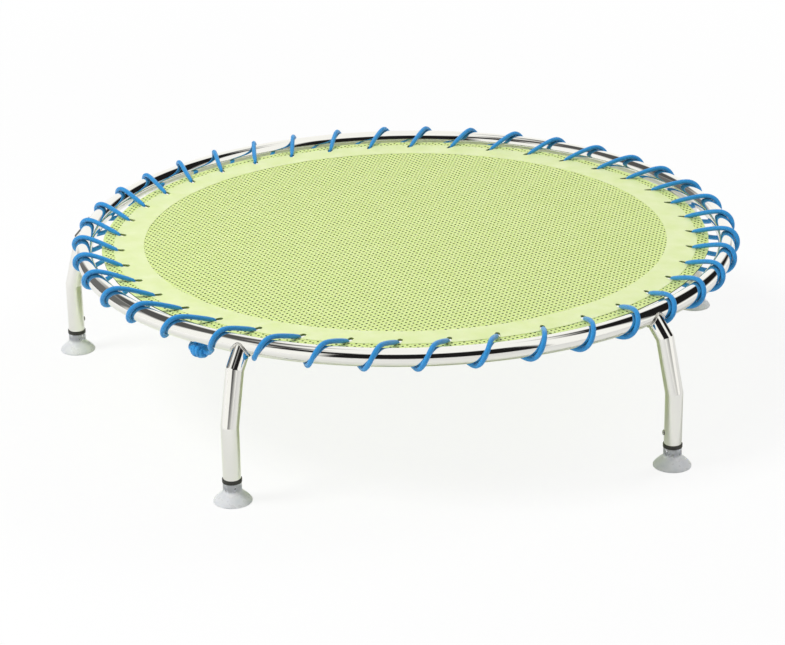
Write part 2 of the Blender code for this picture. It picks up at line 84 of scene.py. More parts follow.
TAU = 2.0 * math.pi
MATHS = "ShaderNodeMath"
RANGE = "ShaderNodeMapRange"
NOISE = "ShaderNodeTexNoise"
MIX = "ShaderNodeMix"
BUMP = "ShaderNodeBump"
FLOOR = CAD_BOUNDS[0].z
RING_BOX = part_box("ring_tube")
MAT_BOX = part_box("mat_mesh")
BAND_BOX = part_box("mat_band")
STUD_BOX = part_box("cup_stud_1")
CUP_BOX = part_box("suction_cup_1")
PLUG_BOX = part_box("leg_plug_1")
SCREW_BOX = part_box("plug_screw_1")
TUBE_ACROSS = RING_BOX[1].z - RING_BOX[0].z
RING_LEVEL = (RING_BOX[0].z + RING_BOX[1].z) / 2
LEG_NAMES = sorted(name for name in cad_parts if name.startswith("leg_plug_"))
# points closer together than this are one point
MERGE = 0.000004
# gap that is left between two pieces that touch
TOUCH = 0.00005


def leg_turn(name):
    """Return the angle at which a leg stands, from its plug in the frame."""
    low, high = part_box(name)
    middle = (low + high) / 2
    return math.degrees(math.atan2(middle.y, middle.x))


LEG_TURNS = {int(name.rsplit("_", 1)[1]): leg_turn(name) for name in LEG_NAMES}


def length(name, description, default):
    """Return a size that a user can change."""
    return FloatProperty(
        name=name, description=description, default=default, unit="LENGTH", subtype="DISTANCE"
    )


def linear(channel):
    """Turn one sRGB channel into scene light."""
    return channel / 12.92 if channel <= 0.04045 else ((channel + 0.055) / 1.055) ** 2.4


def hex_colour(text):
    """Turn an sRGB hex colour into the linear colour that shaders take."""
    channels = [int(text[i : i + 2], 16) / 255 for i in (1, 3, 5)]
    return (*[linear(channel) for channel in channels], 1.0)


def colour(name, description, text):
    """Return a colour that a user can change."""
    return FloatVectorProperty(
        name=name,
        description=description,
        default=hex_colour(text),
        subtype="COLOR",
        size=4,
        min=0.0,
        max=1.0,
    )


class FrameSizes(bpy.types.PropertyGroup):
    """Ring and legs."""

    ring_radius: length("Ring radius", "Ring's centre line", RING_BOX[1].x - TUBE_ACROSS / 2)
    ring_tube: length("Ring tube", "Ring tube's outer diameter", TUBE_ACROSS)
    leg_tube: length("Leg tube", "Leg tube's outer diameter", 0.025)
    wall: length("Wall", "Wall of the leg tubes", 0.0015)
    stub_out: length("Stub reach", "How far the first run leads outwards", 0.024)
    stub_drop: length("Stub drop", "How far the first run leads down", 0.028)
    slope_out: length("Slope reach", "How far the second run leads outwards", 0.019)
    slope_drop: length("Slope drop", "How far the second run leads down", 0.077)
    joint_round: length("Joint", "How far a ground mitre joint rounds over", 0.0007)
    weld: length("Weld", "Weld bead's radius", 0.0017)
    ripple: length("Weld ripple", "Distance between the ripples of the weld", 0.0021)
    end_height: length("Leg end", "Leg's lower end above the pool floor", 0.0345)
    ring_steps: IntProperty(name="Ring steps", description="Steps round the ring", default=360)
    tube_sides: IntProperty(name="Tube sides", description="Sides of the steel tubes", default=48)


class FootSizes(bpy.types.PropertyGroup):
    """Plug, screw, stud and suction cup of one foot."""

    flange: length("Flange", "Plug flange's diameter", 0.0275)
    flange_thickness: length("Flange thickness", "Height of the flange that shows", 0.0057)
    plug_body: length("Plug body", "Diameter of the plug inside the leg", 0.0214)
    screw_head: length("Screw head", "Diameter of the screw's domed head", 0.008)
    screw_shank: length("Screw shank", "Diameter of the screw's shank", 0.0042)
    screw_turn: FloatProperty(
        name="Screw turn", description="Angle from the leg's outer side to its screw", default=-140.0
    )
    stud_flats: length("Stud head", "Hexagon of the stud across its flats", 0.0142)
    stud_thickness: length("Stud head thickness", "Height of the hexagon", 0.0054)
    stud_shank: length("Stud shank", "Diameter of the stud's thread", 0.008)
    thread_pitch: length("Thread pitch", "Distance between the turns of the thread", 0.00125)
    cup_neck: length("Cup neck", "Diameter of the suction cup's neck", 0.026)
    cup_neck_height: length("Cup neck height", "Height of the straight neck", 0.0128)
    cup_lip: length("Cup lip", "Rubber over the stud's head", 0.0011)
    cup_rim: length("Cup rim", "Width of the rim that sucks onto the floor", 0.0035)
    cup_hollow: length("Cup hollow", "Depth of the suction hollow", 0.0075)


class MatSizes(bpy.types.PropertyGroup):
    """Mesh mat and the tape on it."""

    radius: length("Mat radius", "Radius of the mat's cut edge", MAT_BOX[1].x)
    thickness: length("Mat thickness", "Thickness of the coated mesh", 0.0015)
    pitch: length("Mesh pitch", "Distance between openings along the yarns", 0.00748)
    opening: length("Mesh opening", "Width of one opening", 0.0037)
    turn: FloatProperty(name="Mesh turn", description="Direction of the yarns", default=62.0)
    scallop: length("Scallop", "How far the edge draws in between the holes", 0.0009)
    tape_outer: length("Tape radius", "Outer radius of the welded tape", BAND_BOX[1].x)
    tape_width: length("Tape width", "Width of the welded tape", 0.045)
    tape_thickness: length("Tape thickness", "Thickness of the welded tape", 0.0007)
    crease: length("Crease", "Height of the creases that the cord pulls", 0.0012)
    holes: IntProperty(name="Lacing holes", description="Number of lacing holes", default=40)
    hole_inset: length("Hole inset", "Lacing holes' distance from the mat's edge", 0.0236)
    hole: length("Lacing hole", "Width of a lacing hole, where the cord runs through", 0.0084)
    slit: length("Slit", "Length of a lacing hole, which the cord has drawn into an oval", 0.0152)
    slit_tip: length("Slit tip", "Width of the hole at its inner end", 0.0064)
    slit_lean: FloatProperty(
        name="Lean of the slit", description="Turn of a lacing hole towards its cord", default=22.0
    )
    hole_lag: FloatProperty(
        name="Hole lag", description="Angle from leg 1 to the first hole", default=-1.25
    )


class CordSizes(bpy.types.PropertyGroup):
    """Elastic lacing cord and its knot."""

    across: length("Cord", "Cord's diameter", 0.007)
    pinch: FloatProperty(
        name="Pinch", description="Share by which a hole narrows the cord", default=0.3
    )
    pinch_length: length("Pinch length", "How far from a hole the cord is whole again", 0.015)
    dive: FloatProperty(name="Dive", description="Angle at which a hole lets go", default=106.0)
    lift: FloatProperty(name="Lift", description="Angle at which the ring lets go", default=80.0)
    stiffness: FloatProperty(name="Stiffness", description="How far the bends reach", default=0.24)
    seam: length("Seam", "How far two stretches of cord run into each other", 0.0005)
    plait: length("Plait", "Length of one crossing of the braid's ribs", 0.00378)
    sides: IntProperty(name="Cord sides", description="Sides of the cord", default=14)
    step: length("Step", "Distance between the cord's sections", 0.0016)
    sway: FloatProperty(
        name="Sway", description="Degrees by which wraps differ on the ring", default=0.4
    )
    knot_lead: FloatProperty(
        name="Knot lead", description="Angle from the first hole to the knot", default=7.5
    )
    knot_across: length("Knot", "Knot's diameter", 0.021)
    knot_length: length("Knot length", "Knot's length along the ring", 0.017)
    tail: length("Tail", "Length of the two loose ends", 0.009)


class Finishes(bpy.types.PropertyGroup):
    """Colours of the trampoline."""

    steel: colour("Steel", "Polished tube", "#E9E8E3")
    fittings: colour("Fittings", "Screws and studs", "#B9B8B2")
    plug: colour("Plug", "Foot plugs", "#2C2B26")
    cup: colour("Cup", "Suction cups", "#F8F9FB")
    mesh: colour("Mesh", "Coated mesh", "#E2F49A")
    # painted shade: the sides of the openings and holes are darkened to stand in for the shade
    # inside them
    mesh_edge: colour("Mesh edge", "Sides of the openings", "#4A640A")
    tape: colour("Tape", "Welded tape", "#E9F5B9")
    cord: colour("Cord", "Lacing cord", "#3ABCFF")
    # painted shade: the grooves are darkened to stand in for the shade between the braid's ribs
    cord_groove: colour("Cord groove", "Grooves of the braid", "#0C59B4")


class StudioSizes(bpy.types.PropertyGroup):
    """Camera, floor and light."""

    lens: FloatProperty(name="Lens", description="Focal length in millimetres", default=112.03)
    camera_x: length("Camera X", "Camera's place along X", 1.5919)
    camera_y: length("Camera Y", "Camera's place along Y", -3.0907)
    camera_z: length("Camera Z", "Camera's height above the mat", 1.2504)
    azimuth: FloatProperty(
        name="Azimuth", description="Turn of the camera's view from +Y towards -X", default=27.6
    )
    elevation: FloatProperty(
        name="Elevation", description="Tilt of the camera's view below level", default=21.853
    )
    roll: FloatProperty(name="Roll", description="Camera's roll", default=-0.942)
    floor_radius: length("Floor", "Radius of the studio floor", 2.8)
    floor: colour("Floor colour", "Studio floor", "#FFFFFF")


def set_inputs(tree, node, inputs):
    """Set a node's inputs to values, or link them to the sockets or nodes that feed them."""
    for key, value in inputs.items():
        if isinstance(value, bpy.types.Node):
            value = value.outputs[0]
        if isinstance(value, bpy.types.NodeSocket):
            tree.links.new(value, node.inputs[key])
        else:
            node.inputs[key].default_value = value


def add_node(tree, kind, inputs=None, **settings):
    """Add a node with its settings and with what feeds it."""
    node = tree.nodes.new(kind)
    for name, value in settings.items():
        setattr(node, name, value)
    set_inputs(tree, node, inputs or {})
    return node


def add_tone(tree, base, tone, pattern, low, high, least=0.0, most=1.0):
    """Lay a tone, in sRGB hex, over a base colour as a pattern rises from low to high."""
    share = add_node(tree, RANGE, {0: pattern, 1: low, 2: high, 3: least, 4: most})
    inputs = {0: share, 6: base, 7: hex_colour(tone)}
    return add_node(tree, MIX, inputs, data_type="RGBA").outputs[2]


def add_window(tree, angle, low, high, soft):
    """Return 1 where an angle in radians lies between two angles in degrees, else 0."""
    edges = [math.radians(edge) for edge in (low - soft, low + soft, high + soft, high - soft)]
    rise = add_node(tree, RANGE, {0: angle, 1: edges[0], 2: edges[1]})
    fall = add_node(tree, RANGE, {0: angle, 1: edges[2], 2: edges[3]})
    return add_node(tree, MATHS, {0: rise, 1: fall}, operation="MULTIPLY")


def seen_directly(tree, rays):
    """Return 1 where a ray comes from the camera, also through a clear piece."""
    kinds = {0: rays.outputs["Is Camera Ray"], 1: rays.outputs["Is Transmission Ray"]}
    return add_node(tree, MATHS, kinds, operation="MAXIMUM")


def object_place(tree):
    """Return the place on the object, in metres."""
    return add_node(tree, "ShaderNodeTexCoord").outputs["Object"]


def polished_stainless(tree, finishes):
    """Stainless steel tube, drawn and then mirror polished: a clear mirror that is a
    little hazy in fine lines along the tube, where the wheel has run."""
    uv = add_node(tree, "ShaderNodeUVMap", uv_map="UVMap")
    drawn = add_node(tree, "ShaderNodeMapping", {"Vector": uv, "Scale": (90.0, 12.0, 1.0)})
    lines = add_node(tree, NOISE, {"Vector": drawn, "Scale": 1.0, "Detail": 3.0})
    haze = add_node(tree, RANGE, {0: lines, 1: 0.3, 2: 0.7, 3: 0.05, 4: 0.1})
    return {"Base Color": finishes.steel, "Metallic": 1.0, "Roughness": haze}


def welded_stainless(tree, finishes):
    """The weld's filler: bright, rippled and brushed clean, so duller than the tube."""
    place = object_place(tree)
    grain = add_node(tree, NOISE, {"Vector": place, "Scale": 1 / 0.0009, "Detail": 3.0})
    return {
        "Base Color": add_tone(tree, finishes.steel, "#A9A59B", grain, 0.35, 0.7),
        "Metallic": 1.0,
        "Roughness": add_node(tree, RANGE, {0: grain, 1: 0.3, 2: 0.7, 3: 0.16, 4: 0.34}),
        "Normal": add_node(tree, BUMP, {"Height": grain, "Distance": 0.00008, "Strength": 0.5}),
    }


def turned_stainless(tree, finishes):
    """Screws and studs turned from stainless bar: satin, with fine tool marks."""
    turned = {"Vector": object_place(tree), "Scale": (1.0, 1.0, 8.0)}
    stretched = add_node(tree, "ShaderNodeMapping", turned)
    marks = add_node(tree, NOISE, {"Vector": stretched, "Scale": 1 / 0.0012, "Detail": 2.0})
    return {
        "Base Color": finishes.fittings,
        "Metallic": 1.0,
        "Roughness": add_node(tree, RANGE, {0: marks, 1: 0.3, 2: 0.7, 3: 0.2, 4: 0.36}),
        "Normal": add_node(tree, BUMP, {"Height": marks, "Distance": 0.00003, "Strength": 0.5}),
    }


def moulded_polyethylene(tree, finishes):
    """Black polyethylene plug, injection moulded: matt, finely pebbled, a little scuffed."""
    place = object_place(tree)
    pebble = add_node(tree, NOISE, {"Vector": place, "Scale": 1 / 0.0006, "Detail": 2.0})
    worn = {"Vector": place, "Scale": 1 / 0.006, "Detail": 4.0, "Roughness": 0.7}
    scuffs = add_node(tree, NOISE, worn)
    return {
        "Base Color": add_tone(tree, finishes.plug, "#4A4841", scuffs, 0.5, 0.8),
        "Roughness": add_node(tree, RANGE, {0: scuffs, 1: 0.3, 2: 0.7, 3: 0.38, 4: 0.55}),
        "Normal": add_node(tree, BUMP, {"Height": pebble, "Distance": 0.00004, "Strength": 0.5}),
    }


def moulded_soft_pvc(tree, finishes):
    """Suction cup of plasticised PVC: waxy and smooth, cloudy in the bell and clear in
    the neck, where the stud shows through."""
    place = object_place(tree)
    cloud = add_node(tree, NOISE, {"Vector": place, "Scale": 1 / 0.012, "Detail": 3.0})
    dimples = add_node(tree, NOISE, {"Vector": place, "Scale": 1 / 0.004, "Detail": 2.0})
    height = add_node(tree, "ShaderNodeSeparateXYZ", {0: place}).outputs["Z"]
    bell, neck = FLOOR + 0.016, FLOOR + 0.0205
    clear = add_node(tree, RANGE, {0: height, 1: bell, 2: neck, 3: 0.14, 4: 0.75})
    return {
        "Base Color": add_tone(tree, finishes.cup, "#E6E9ED", cloud, 0.3, 0.7),
        "Roughness": add_node(tree, RANGE, {0: cloud, 1: 0.3, 2: 0.7, 3: 0.24, 4: 0.36}),
        "IOR": 1.3,
        "Transmission Weight": clear,
        "Subsurface Weight": 0.25,
        "Subsurface Radius": (0.6, 0.6, 0.7),
        "Subsurface Scale": 0.01,
        "Normal": add_node(tree, BUMP, {"Height": dimples, "Distance": 0.00015, "Strength": 0.4}),
    }


def yarn_waves(tree, mat, per_pitch, operation):
    """Join the waves along both directions of the yarns, so many of them to a pitch."""
    facing = {"Vector": object_place(tree), "Angle": -math.radians(mat.turn)}
    turned = add_node(tree, "ShaderNodeVectorRotate", facing, rotation_type="Z_AXIS")
    axes = add_node(tree, "ShaderNodeSeparateXYZ", {0: turned})
    waves = []
    for axis in ("X", "Y"):
        inputs = {0: axes.outputs[axis], 1: TAU * per_pitch / mat.pitch}
        turns = add_node(tree, MATHS, inputs, operation="MULTIPLY")
        waves.append(add_node(tree, MATHS, {0: turns}, operation="COSINE"))
    return add_node(tree, MATHS, {0: waves[0], 1: waves[1]}, operation=operation)


def pvc_coated_mesh(tree, finishes, mat):
    """Polyester mesh dipped in PVC: yarns under a smooth, slightly waxy yellow-green
    skin that sinks towards the openings and is thinner and paler on the crowns."""
    weave = yarn_waves(tree, mat, 4.0, "MULTIPLY")
    dips = yarn_waves(tree, mat, 1.0, "ADD")
    place = object_place(tree)
    patches = add_node(tree, NOISE, {"Vector": place, "Scale": 1 / 0.05, "Detail": 4.0})
    speckle = add_node(tree, NOISE, {"Vector": place, "Scale": 1 / 0.0011, "Detail": 2.0})
    tone = add_tone(tree, finishes.mesh, "#DBEF90", patches, 0.3, 0.7)
    crown = add_tone(tree, tone, "#EFFBBE", dips, -1.6, 1.2, 0.55, 0.0)
    sunk = add_node(tree, MATHS, {0: dips, 1: -0.35}, operation="MULTIPLY")
    height = add_node(tree, MATHS, {0: weave, 1: 0.35, 2: sunk}, operation="MULTIPLY_ADD")
    return {
        "Base Color": add_tone(tree, crown, "#C8DC78", speckle, 0.35, 0.75, 0.0, 0.35),
        "Roughness": 0.52,
        "Sheen Weight": 0.08,
        "Subsurface Weight": 0.12,
        "Subsurface Radius": (0.8, 1.0, 0.35),
        "Subsurface Scale": 0.002,
        "Normal": add_node(tree, BUMP, {"Height": height, "Distance": 0.00016, "Strength": 0.8}),
    }


def pvc_mesh_edge(tree, finishes):
    """Sides of the openings and the cut edge: the same coating with a random grain, darkened as
    painted shade for the dim insides of the openings and holes.
    """
    place = object_place(tree)
    grain = add_node(tree, NOISE, {"Vector": place, "Scale": 1 / 0.0012, "Detail": 2.0})
    return {
        "Base Color": add_tone(tree, finishes.mesh_edge, "#364D05", grain, 0.3, 0.7),
        "Roughness": 0.6,
        "Normal": add_node(tree, BUMP, {"Height": grain, "Distance": 0.0001, "Strength": 0.4}),
    }


def pvc_welded_tape(tree, finishes, mat):
    """Smooth PVC tape, hot-air welded over the mesh: satin, pale, and faintly printed
    through by the openings below."""
    dips = yarn_waves(tree, mat, 1.0, "ADD")
    place = object_place(tree)
    patches = add_node(tree, NOISE, {"Vector": place, "Scale": 1 / 0.03, "Detail": 4.0})
    fine = add_node(tree, NOISE, {"Vector": place, "Scale": 1 / 0.0009, "Detail": 2.0})
    printed = add_node(tree, MATHS, {0: dips, 1: -0.12}, operation="MULTIPLY")
    height = add_node(tree, MATHS, {0: fine, 1: 0.35, 2: printed}, operation="MULTIPLY_ADD")
    return {
        "Base Color": add_tone(tree, finishes.tape, "#E1F0A8", patches, 0.3, 0.7),
        "Roughness": add_node(tree, RANGE, {0: patches, 1: 0.3, 2: 0.7, 3: 0.36, 4: 0.5}),
        "Subsurface Weight": 0.1,
        "Subsurface Radius": (0.8, 1.0, 0.35),
        "Subsurface Scale": 0.002,
        "Normal": add_node(tree, BUMP, {"Height": height, "Distance": 0.00012, "Strength": 0.6}),
    }


def braided_polypropylene(tree, finishes, cord):
    """Elastic cord in a braided polypropylene sheath: rounded ribs that cross both ways, with
    painted shade in the grooves, pale random fuzz that is partly a painted highlight, and the soft
    sheen of fine filament."""
    uv = add_node(tree, "ShaderNodeUVMap", uv_map="UVMap")
    axes = add_node(tree, "ShaderNodeSeparateXYZ", {0: uv})
    ribs_round = 6.0
    turns = {0: axes.outputs["X"], 1: TAU * ribs_round}
    runs = {0: axes.outputs["Y"], 1: TAU / cord.plait}
    circling = add_node(tree, MATHS, turns, operation="MULTIPLY")
    along = add_node(tree, MATHS, runs, operation="MULTIPLY")
    waves = []
    for operation in ("ADD", "SUBTRACT"):
        slant = add_node(tree, MATHS, {0: circling, 1: along}, operation=operation)
        waves.append(add_node(tree, MATHS, {0: slant}, operation="SINE"))
    crossing = add_node(tree, MATHS, {0: waves[0], 1: waves[1]}, operation="MULTIPLY")
    heights = add_node(tree, MATHS, {0: crossing}, operation="ABSOLUTE")
    ribs = add_node(tree, RANGE, {0: heights, 1: 0.0, 2: 0.7})
    drawn = add_node(tree, "ShaderNodeMapping", {"Vector": uv, "Scale": (60.0, 2500.0, 1.0)})
    fuzz = add_node(tree, NOISE, {"Vector": drawn, "Scale": 1.0, "Detail": 2.0})
    # the grooves take the darker colour as painted shade
    shades = {0: ribs, 6: finishes.cord_groove, 7: finishes.cord}
    tone = add_node(tree, MIX, shades, data_type="RGBA").outputs[2]
    height = add_node(tree, MATHS, {0: fuzz, 1: 0.2, 2: ribs}, operation="MULTIPLY_ADD")
    return {
        # pale fuzz: a random tone along the fibres, lightened to add a painted highlight
        "Base Color": add_tone(tree, tone, "#78CCFB", fuzz, 0.5, 0.8, 0.0, 0.3),
        "Roughness": 0.42,
        "Sheen Weight": 0.22,
        "Sheen Roughness": 0.4,
        "Normal": add_node(tree, BUMP, {"Height": height, "Distance": 0.0002, "Strength": 0.55}),
    }


def studio_paper(tree, studio):
    """White paper floor: it keeps a soft shadow, and a camera sees it near white."""
    rays = add_node(tree, "ShaderNodeLightPath")
    white = add_node(tree, "ShaderNodeEmission", {"Color": (1.0, 1.0, 1.0, 1.0), "Strength": 1.0})
    reach = add_node(tree, "ShaderNodeVectorMath", {0: object_place(tree)}, operation="LENGTH")
    far = studio.floor_radius - 0.3
    fade = add_node(tree, RANGE, {0: reach.outputs["Value"], 1: 0.9, 2: far, 3: 0.86, 4: 1.0})
    lit = add_node(tree, MATHS, {0: seen_directly(tree, rays), 1: fade}, operation="MULTIPLY")
    paper = tree.nodes["Principled BSDF"]
    mixed = add_node(tree, "ShaderNodeMixShader", {0: lit, 1: paper, 2: white})
    set_inputs(tree, tree.nodes["Material Output"], {"Surface": mixed})
    return {"Base Color": studio.floor, "Roughness": 0.9, "Specular IOR Level": 0.0}


def find_material(make, *settings):
    """Return the material that a function describes, made the first time it is asked for.

    The function adds its nodes to a tree and returns what feeds the material's shader.
    """
    made = bpy.data.materials.get(make.__name__)
    if made is None:
        made = bpy.data.materials.new(make.__name__)
        made.use_nodes = True
        tree = made.node_tree
        set_inputs(tree, tree.nodes["Principled BSDF"], make(tree, *settings))
    return made


def evaluated_mesh(obj):
    """Return the finished mesh of an object, with its modifiers applied."""
    graph = bpy.context.evaluated_depsgraph_get()
    return bpy.data.meshes.new_from_object(obj.evaluated_get(graph))


def put_object(name, mesh):
    """Put a mesh into the scene as an object at the origin."""
    obj = bpy.data.objects.new(name, mesh)
    bpy.context.scene.collection.objects.link(obj)
    return obj


def settle(obj):
    """Turn an object's modifiers into its plain mesh."""
    mesh = evaluated_mesh(obj)
    obj.modifiers.clear()
    obj.data = mesh
    return obj


@contextmanager
def edited(mesh):
    """Open a mesh as a shape that can be edited, and write the shape back at the end."""
    shape = bmesh.new()
    shape.from_mesh(mesh)
    yield shape
    shape.to_mesh(mesh)
    shape.free()


def drop_loose(shape, points):
    """Take out the points that no face uses."""
    loose = [point for point in points if not point.link_faces]
    bmesh.ops.delete(shape, geom=loose, context="VERTS")


def merge_mesh(mesh, close_ends=False, turn_out=True):
    """Weld a mesh's doubles, close its open ends and point its faces outwards."""
    with edited(mesh) as shape:
        bmesh.ops.remove_doubles(shape, verts=shape.verts, dist=MERGE)
        if close_ends:
            edges = [edge for edge in shape.edges if edge.is_boundary]
            bmesh.ops.holes_fill(shape, edges=edges, sides=0)
        if turn_out:
            bmesh.ops.recalc_face_normals(shape, faces=shape.faces)
    return mesh


def add_wall(obj, thickness, offset):
    """Give a sheet a wall, and return the modifier that does it."""
    wall = obj.modifiers.new("wall", "SOLIDIFY")
    wall.thickness = thickness
    wall.offset = offset
    return wall


def smooth_mesh(mesh, sharp_above=38.0):
    """Shade a mesh's round faces smooth and keep its edges."""
    mesh.shade_smooth()
    mesh.set_sharp_from_angle(angle=math.radians(sharp_above))
    return mesh


def turned_copy(mesh, angle, name):
    """Return a copy of a mesh, turned about the trampoline's axis."""
    copy = mesh.copy()
    copy.name = name
    copy.transform(Matrix.Rotation(math.radians(angle), 4, "Z"))
    return copy


def finish_piece(name, mesh, material, body, replaced=()):
    """Put a finished mesh into the scene as a piece of the trampoline."""
    mesh.materials.clear()
    mesh.materials.append(material)
    obj = put_object(name, mesh)
    if body is not None:
        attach(obj, body)
    if replaced:
        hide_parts(*replaced)
    return obj


def finish_on_legs(label, mesh, material, node=None, body="frame"):
    """Put a copy of a mesh at every leg, in place of that leg's own node.

    Where the body's name holds a pair of braces, the leg's number goes there.
    """
    for number, turn in LEG_TURNS.items():
        copy = turned_copy(mesh, turn, f"{label}_{number}")
        replaced = [f"{node}_{number}"] if node else ()
        finish_piece(copy.name, copy, material, body.format(number), replaced)


def foot_reach():
    """Return how far the feet stand from the trampoline's axis."""
    middle = (PLUG_BOX[0] + PLUG_BOX[1]) / 2
    return math.hypot(middle.x, middle.y)


def cup_top(sizes, feet):
    """Return the height of the cup's top, just under the plug's flange."""
    return FLOOR + sizes.end_height - feet.flange_thickness - 6 * TOUCH


def around(angle, radius, height):
    """Return the point at an angle and radius about the trampoline's axis."""
    turn = math.radians(angle)
    return Vector((radius * math.cos(turn), radius * math.sin(turn), height))


def add_input(tree, name, kind, default=None):
    """Add one named input to a geometry tree."""
    socket = tree.interface.new_socket(name=name, in_out="INPUT", socket_type=kind)
    if default is not None:
        socket.default_value = default


def start_tree(name, inputs):
    """Start a geometry tree with named inputs, and return it with its input node."""
    tree = bpy.data.node_groups.new(name, "GeometryNodeTree")
    add_input(tree, "Geometry", "NodeSocketGeometry")
    for label, kind, default in inputs:
        add_input(tree, label, kind, default)
    tree.interface.new_socket(
        name="Geometry", in_out="OUTPUT", socket_type="NodeSocketGeometry"
    )
    return tree, tree.nodes.new("NodeGroupInput")


def finish_tree(tree, entry, geometry):
    """End a geometry tree: real meshes, in the material that its input names."""
    real = add_node(tree, "GeometryNodeRealizeInstances", {0: geometry})
    painted = add_node(
        tree,
        "GeometryNodeSetMaterial",
        {"Geometry": real.outputs[0], "Material": entry.outputs["Material"]},
    )
    add_node(tree, "NodeGroupOutput", {0: painted.outputs[0]})
    return tree


def tube_tree():
    """Sweep a round section along a line, with UVs in turns and in metres."""
    name = "Tube along a line"
    if name in bpy.data.node_groups:
        return bpy.data.node_groups[name]
    tree, entry = start_tree(
        name,
        [
            ("Radius", "NodeSocketFloat", 0.01),
            ("Sides", "NodeSocketInt", 24),
            ("Ripple", "NodeSocketFloat", 0.0),
            ("Ripple Length", "NodeSocketFloat", 0.002),
            ("Pinch", "NodeSocketFloat", 0.0),
            ("Pinch Length", "NodeSocketFloat", 0.014),
            ("Material", "NodeSocketMaterial", None),
        ],
    )
    line = add_node(tree, "GeometryNodeMeshToCurve", {"Mesh": entry.outputs["Geometry"]})
    run = add_node(tree, "GeometryNodeSplineParameter")
    marked = tree.nodes.new("GeometryNodeCaptureAttribute")
    marked.capture_items.new("FLOAT", "Along")
    tree.links.new(line.outputs[0], marked.inputs[0])
    tree.links.new(run.outputs["Length"], marked.inputs[1])
    points = add_node(tree, MATHS, {0: entry.outputs["Sides"], 1: 1.0}, operation="ADD")
    section = add_node(
        tree,
        "GeometryNodeCurveArc",
        {"Resolution": points, "Radius": 1.0, "Start Angle": 0.0, "Sweep Angle": TAU},
    )
    turn = add_node(tree, "GeometryNodeSplineParameter")
    wound = tree.nodes.new("GeometryNodeCaptureAttribute")
    wound.capture_items.new("FLOAT", "Round")
    tree.links.new(section.outputs[0], wound.inputs[0])
    tree.links.new(turn.outputs["Factor"], wound.inputs[1])
    ripples = {0: marked.outputs[1], 1: entry.outputs["Ripple Length"]}
    count = add_node(tree, MATHS, ripples, operation="DIVIDE")
    turns = add_node(tree, MATHS, {0: count, 1: TAU}, operation="MULTIPLY")
    wave = add_node(tree, MATHS, {0: turns}, operation="SINE")
    rise = {0: wave, 1: entry.outputs["Ripple"], 2: 1.0}
    swell = add_node(tree, MATHS, rise, operation="MULTIPLY_ADD")
    reach = {0: marked.outputs[1], 1: 0.0, 2: entry.outputs["Pinch Length"], 3: 1.0, 4: 0.0}
    near_start = add_node(tree, RANGE, reach, interpolation_type="SMOOTHSTEP")
    squeeze = {0: near_start, 1: entry.outputs["Pinch"]}
    pinched = add_node(tree, MATHS, squeeze, operation="MULTIPLY")
    left_over = add_node(tree, MATHS, {0: 1.0, 1: pinched}, operation="SUBTRACT")
    shape = add_node(tree, MATHS, {0: swell, 1: left_over}, operation="MULTIPLY")
    size = {0: shape, 1: entry.outputs["Radius"]}
    thickness = add_node(tree, MATHS, size, operation="MULTIPLY")
    tube = add_node(
        tree,
        "GeometryNodeCurveToMesh",
        {"Curve": marked.outputs[0], "Profile Curve": wound.outputs[0], "Scale": thickness},
    )
    spread = add_node(tree, "ShaderNodeCombineXYZ", {0: wound.outputs[1], 1: marked.outputs[1]})
    mapped = add_node(
        tree,
        "GeometryNodeStoreNamedAttribute",
        {"Geometry": tube.outputs[0], "Name": "UVMap"},
        data_type="FLOAT2",
        domain="CORNER",
    )
    tree.links.new(spread.outputs[0], mapped.inputs["Value"])
    closed = add_node(
        tree, "GeometryNodeMergeByDistance", {"Geometry": mapped.outputs[0], "Distance": MERGE}
    )
    return finish_tree(tree, entry, closed.outputs[0])


def lattice_tree():
    """Put one cell of mesh on every point of a lattice."""
    name = "Mesh cells on a lattice"
    if name in bpy.data.node_groups:
        return bpy.data.node_groups[name]
    tree, entry = start_tree(
        name,
        [
            ("Cell", "NodeSocketObject", None),
            ("Turn", "NodeSocketFloat", 0.0),
            ("Material", "NodeSocketMaterial", None),
        ],
    )
    cell = add_node(tree, "GeometryNodeObjectInfo", {"Object": entry.outputs["Cell"]})
    turn = add_node(tree, "ShaderNodeCombineXYZ", {2: entry.outputs["Turn"]})
    copies = add_node(
        tree,
        "GeometryNodeInstanceOnPoints",
        {
            "Points": entry.outputs["Geometry"],
            "Instance": cell.outputs["Geometry"],
            "Rotation": turn.outputs[0],
        },
    )
    return finish_tree(tree, entry, copies.outputs[0])


def run_tree(obj, tree, values):
    """Run a geometry tree on an object and return the plain mesh that it makes."""
    modifier = obj.modifiers.new(tree.name, "NODES")
    modifier.node_group = tree
    names = {item.name: item.identifier for item in tree.interface.items_tree}
    for name, value in values.items():
        modifier[names[name]] = value
    mesh = evaluated_mesh(obj)
    bpy.data.objects.remove(obj, do_unlink=True)
    return mesh


def line_object(points, closed=False):
    """Return a line through points as an object for a geometry tree."""
    mesh = bpy.data.meshes.new("line")
    edges = [(i, i + 1) for i in range(len(points) - 1)]
    if closed:
        edges.append((len(points) - 1, 0))
    mesh.from_pydata([tuple(point) for point in points], edges, [])
    return put_object("line", mesh)


def tube_mesh(points, radius, sides, material, closed=False, **shape):
    """Return a tube along a line, its ends open; shape may name more of the tree's inputs."""
    values = {"Radius": radius, "Sides": sides, "Material": material, **shape}
    return run_tree(line_object(points, closed), tube_tree(), values)


def rounded(profile, radius, steps=4):
    """Round the inner corners of a profile by up to a radius."""
    result = [profile[0]]
    for before, corner, after in zip(profile, profile[1:], profile[2:]):
        back = Vector(before) - Vector(corner)
        ahead = Vector(after) - Vector(corner)
        reach = min(radius, back.length * 0.45, ahead.length * 0.45)
        start = Vector(corner) + back.normalized() * reach
        stop = Vector(corner) + ahead.normalized() * reach
        for step in range(steps + 1):
            t = step / steps
            middle = Vector(corner)
            result.append(tuple(start * (1 - t) ** 2 + middle * 2 * t * (1 - t) + stop * t * t))
    result.append(profile[-1])
    return result


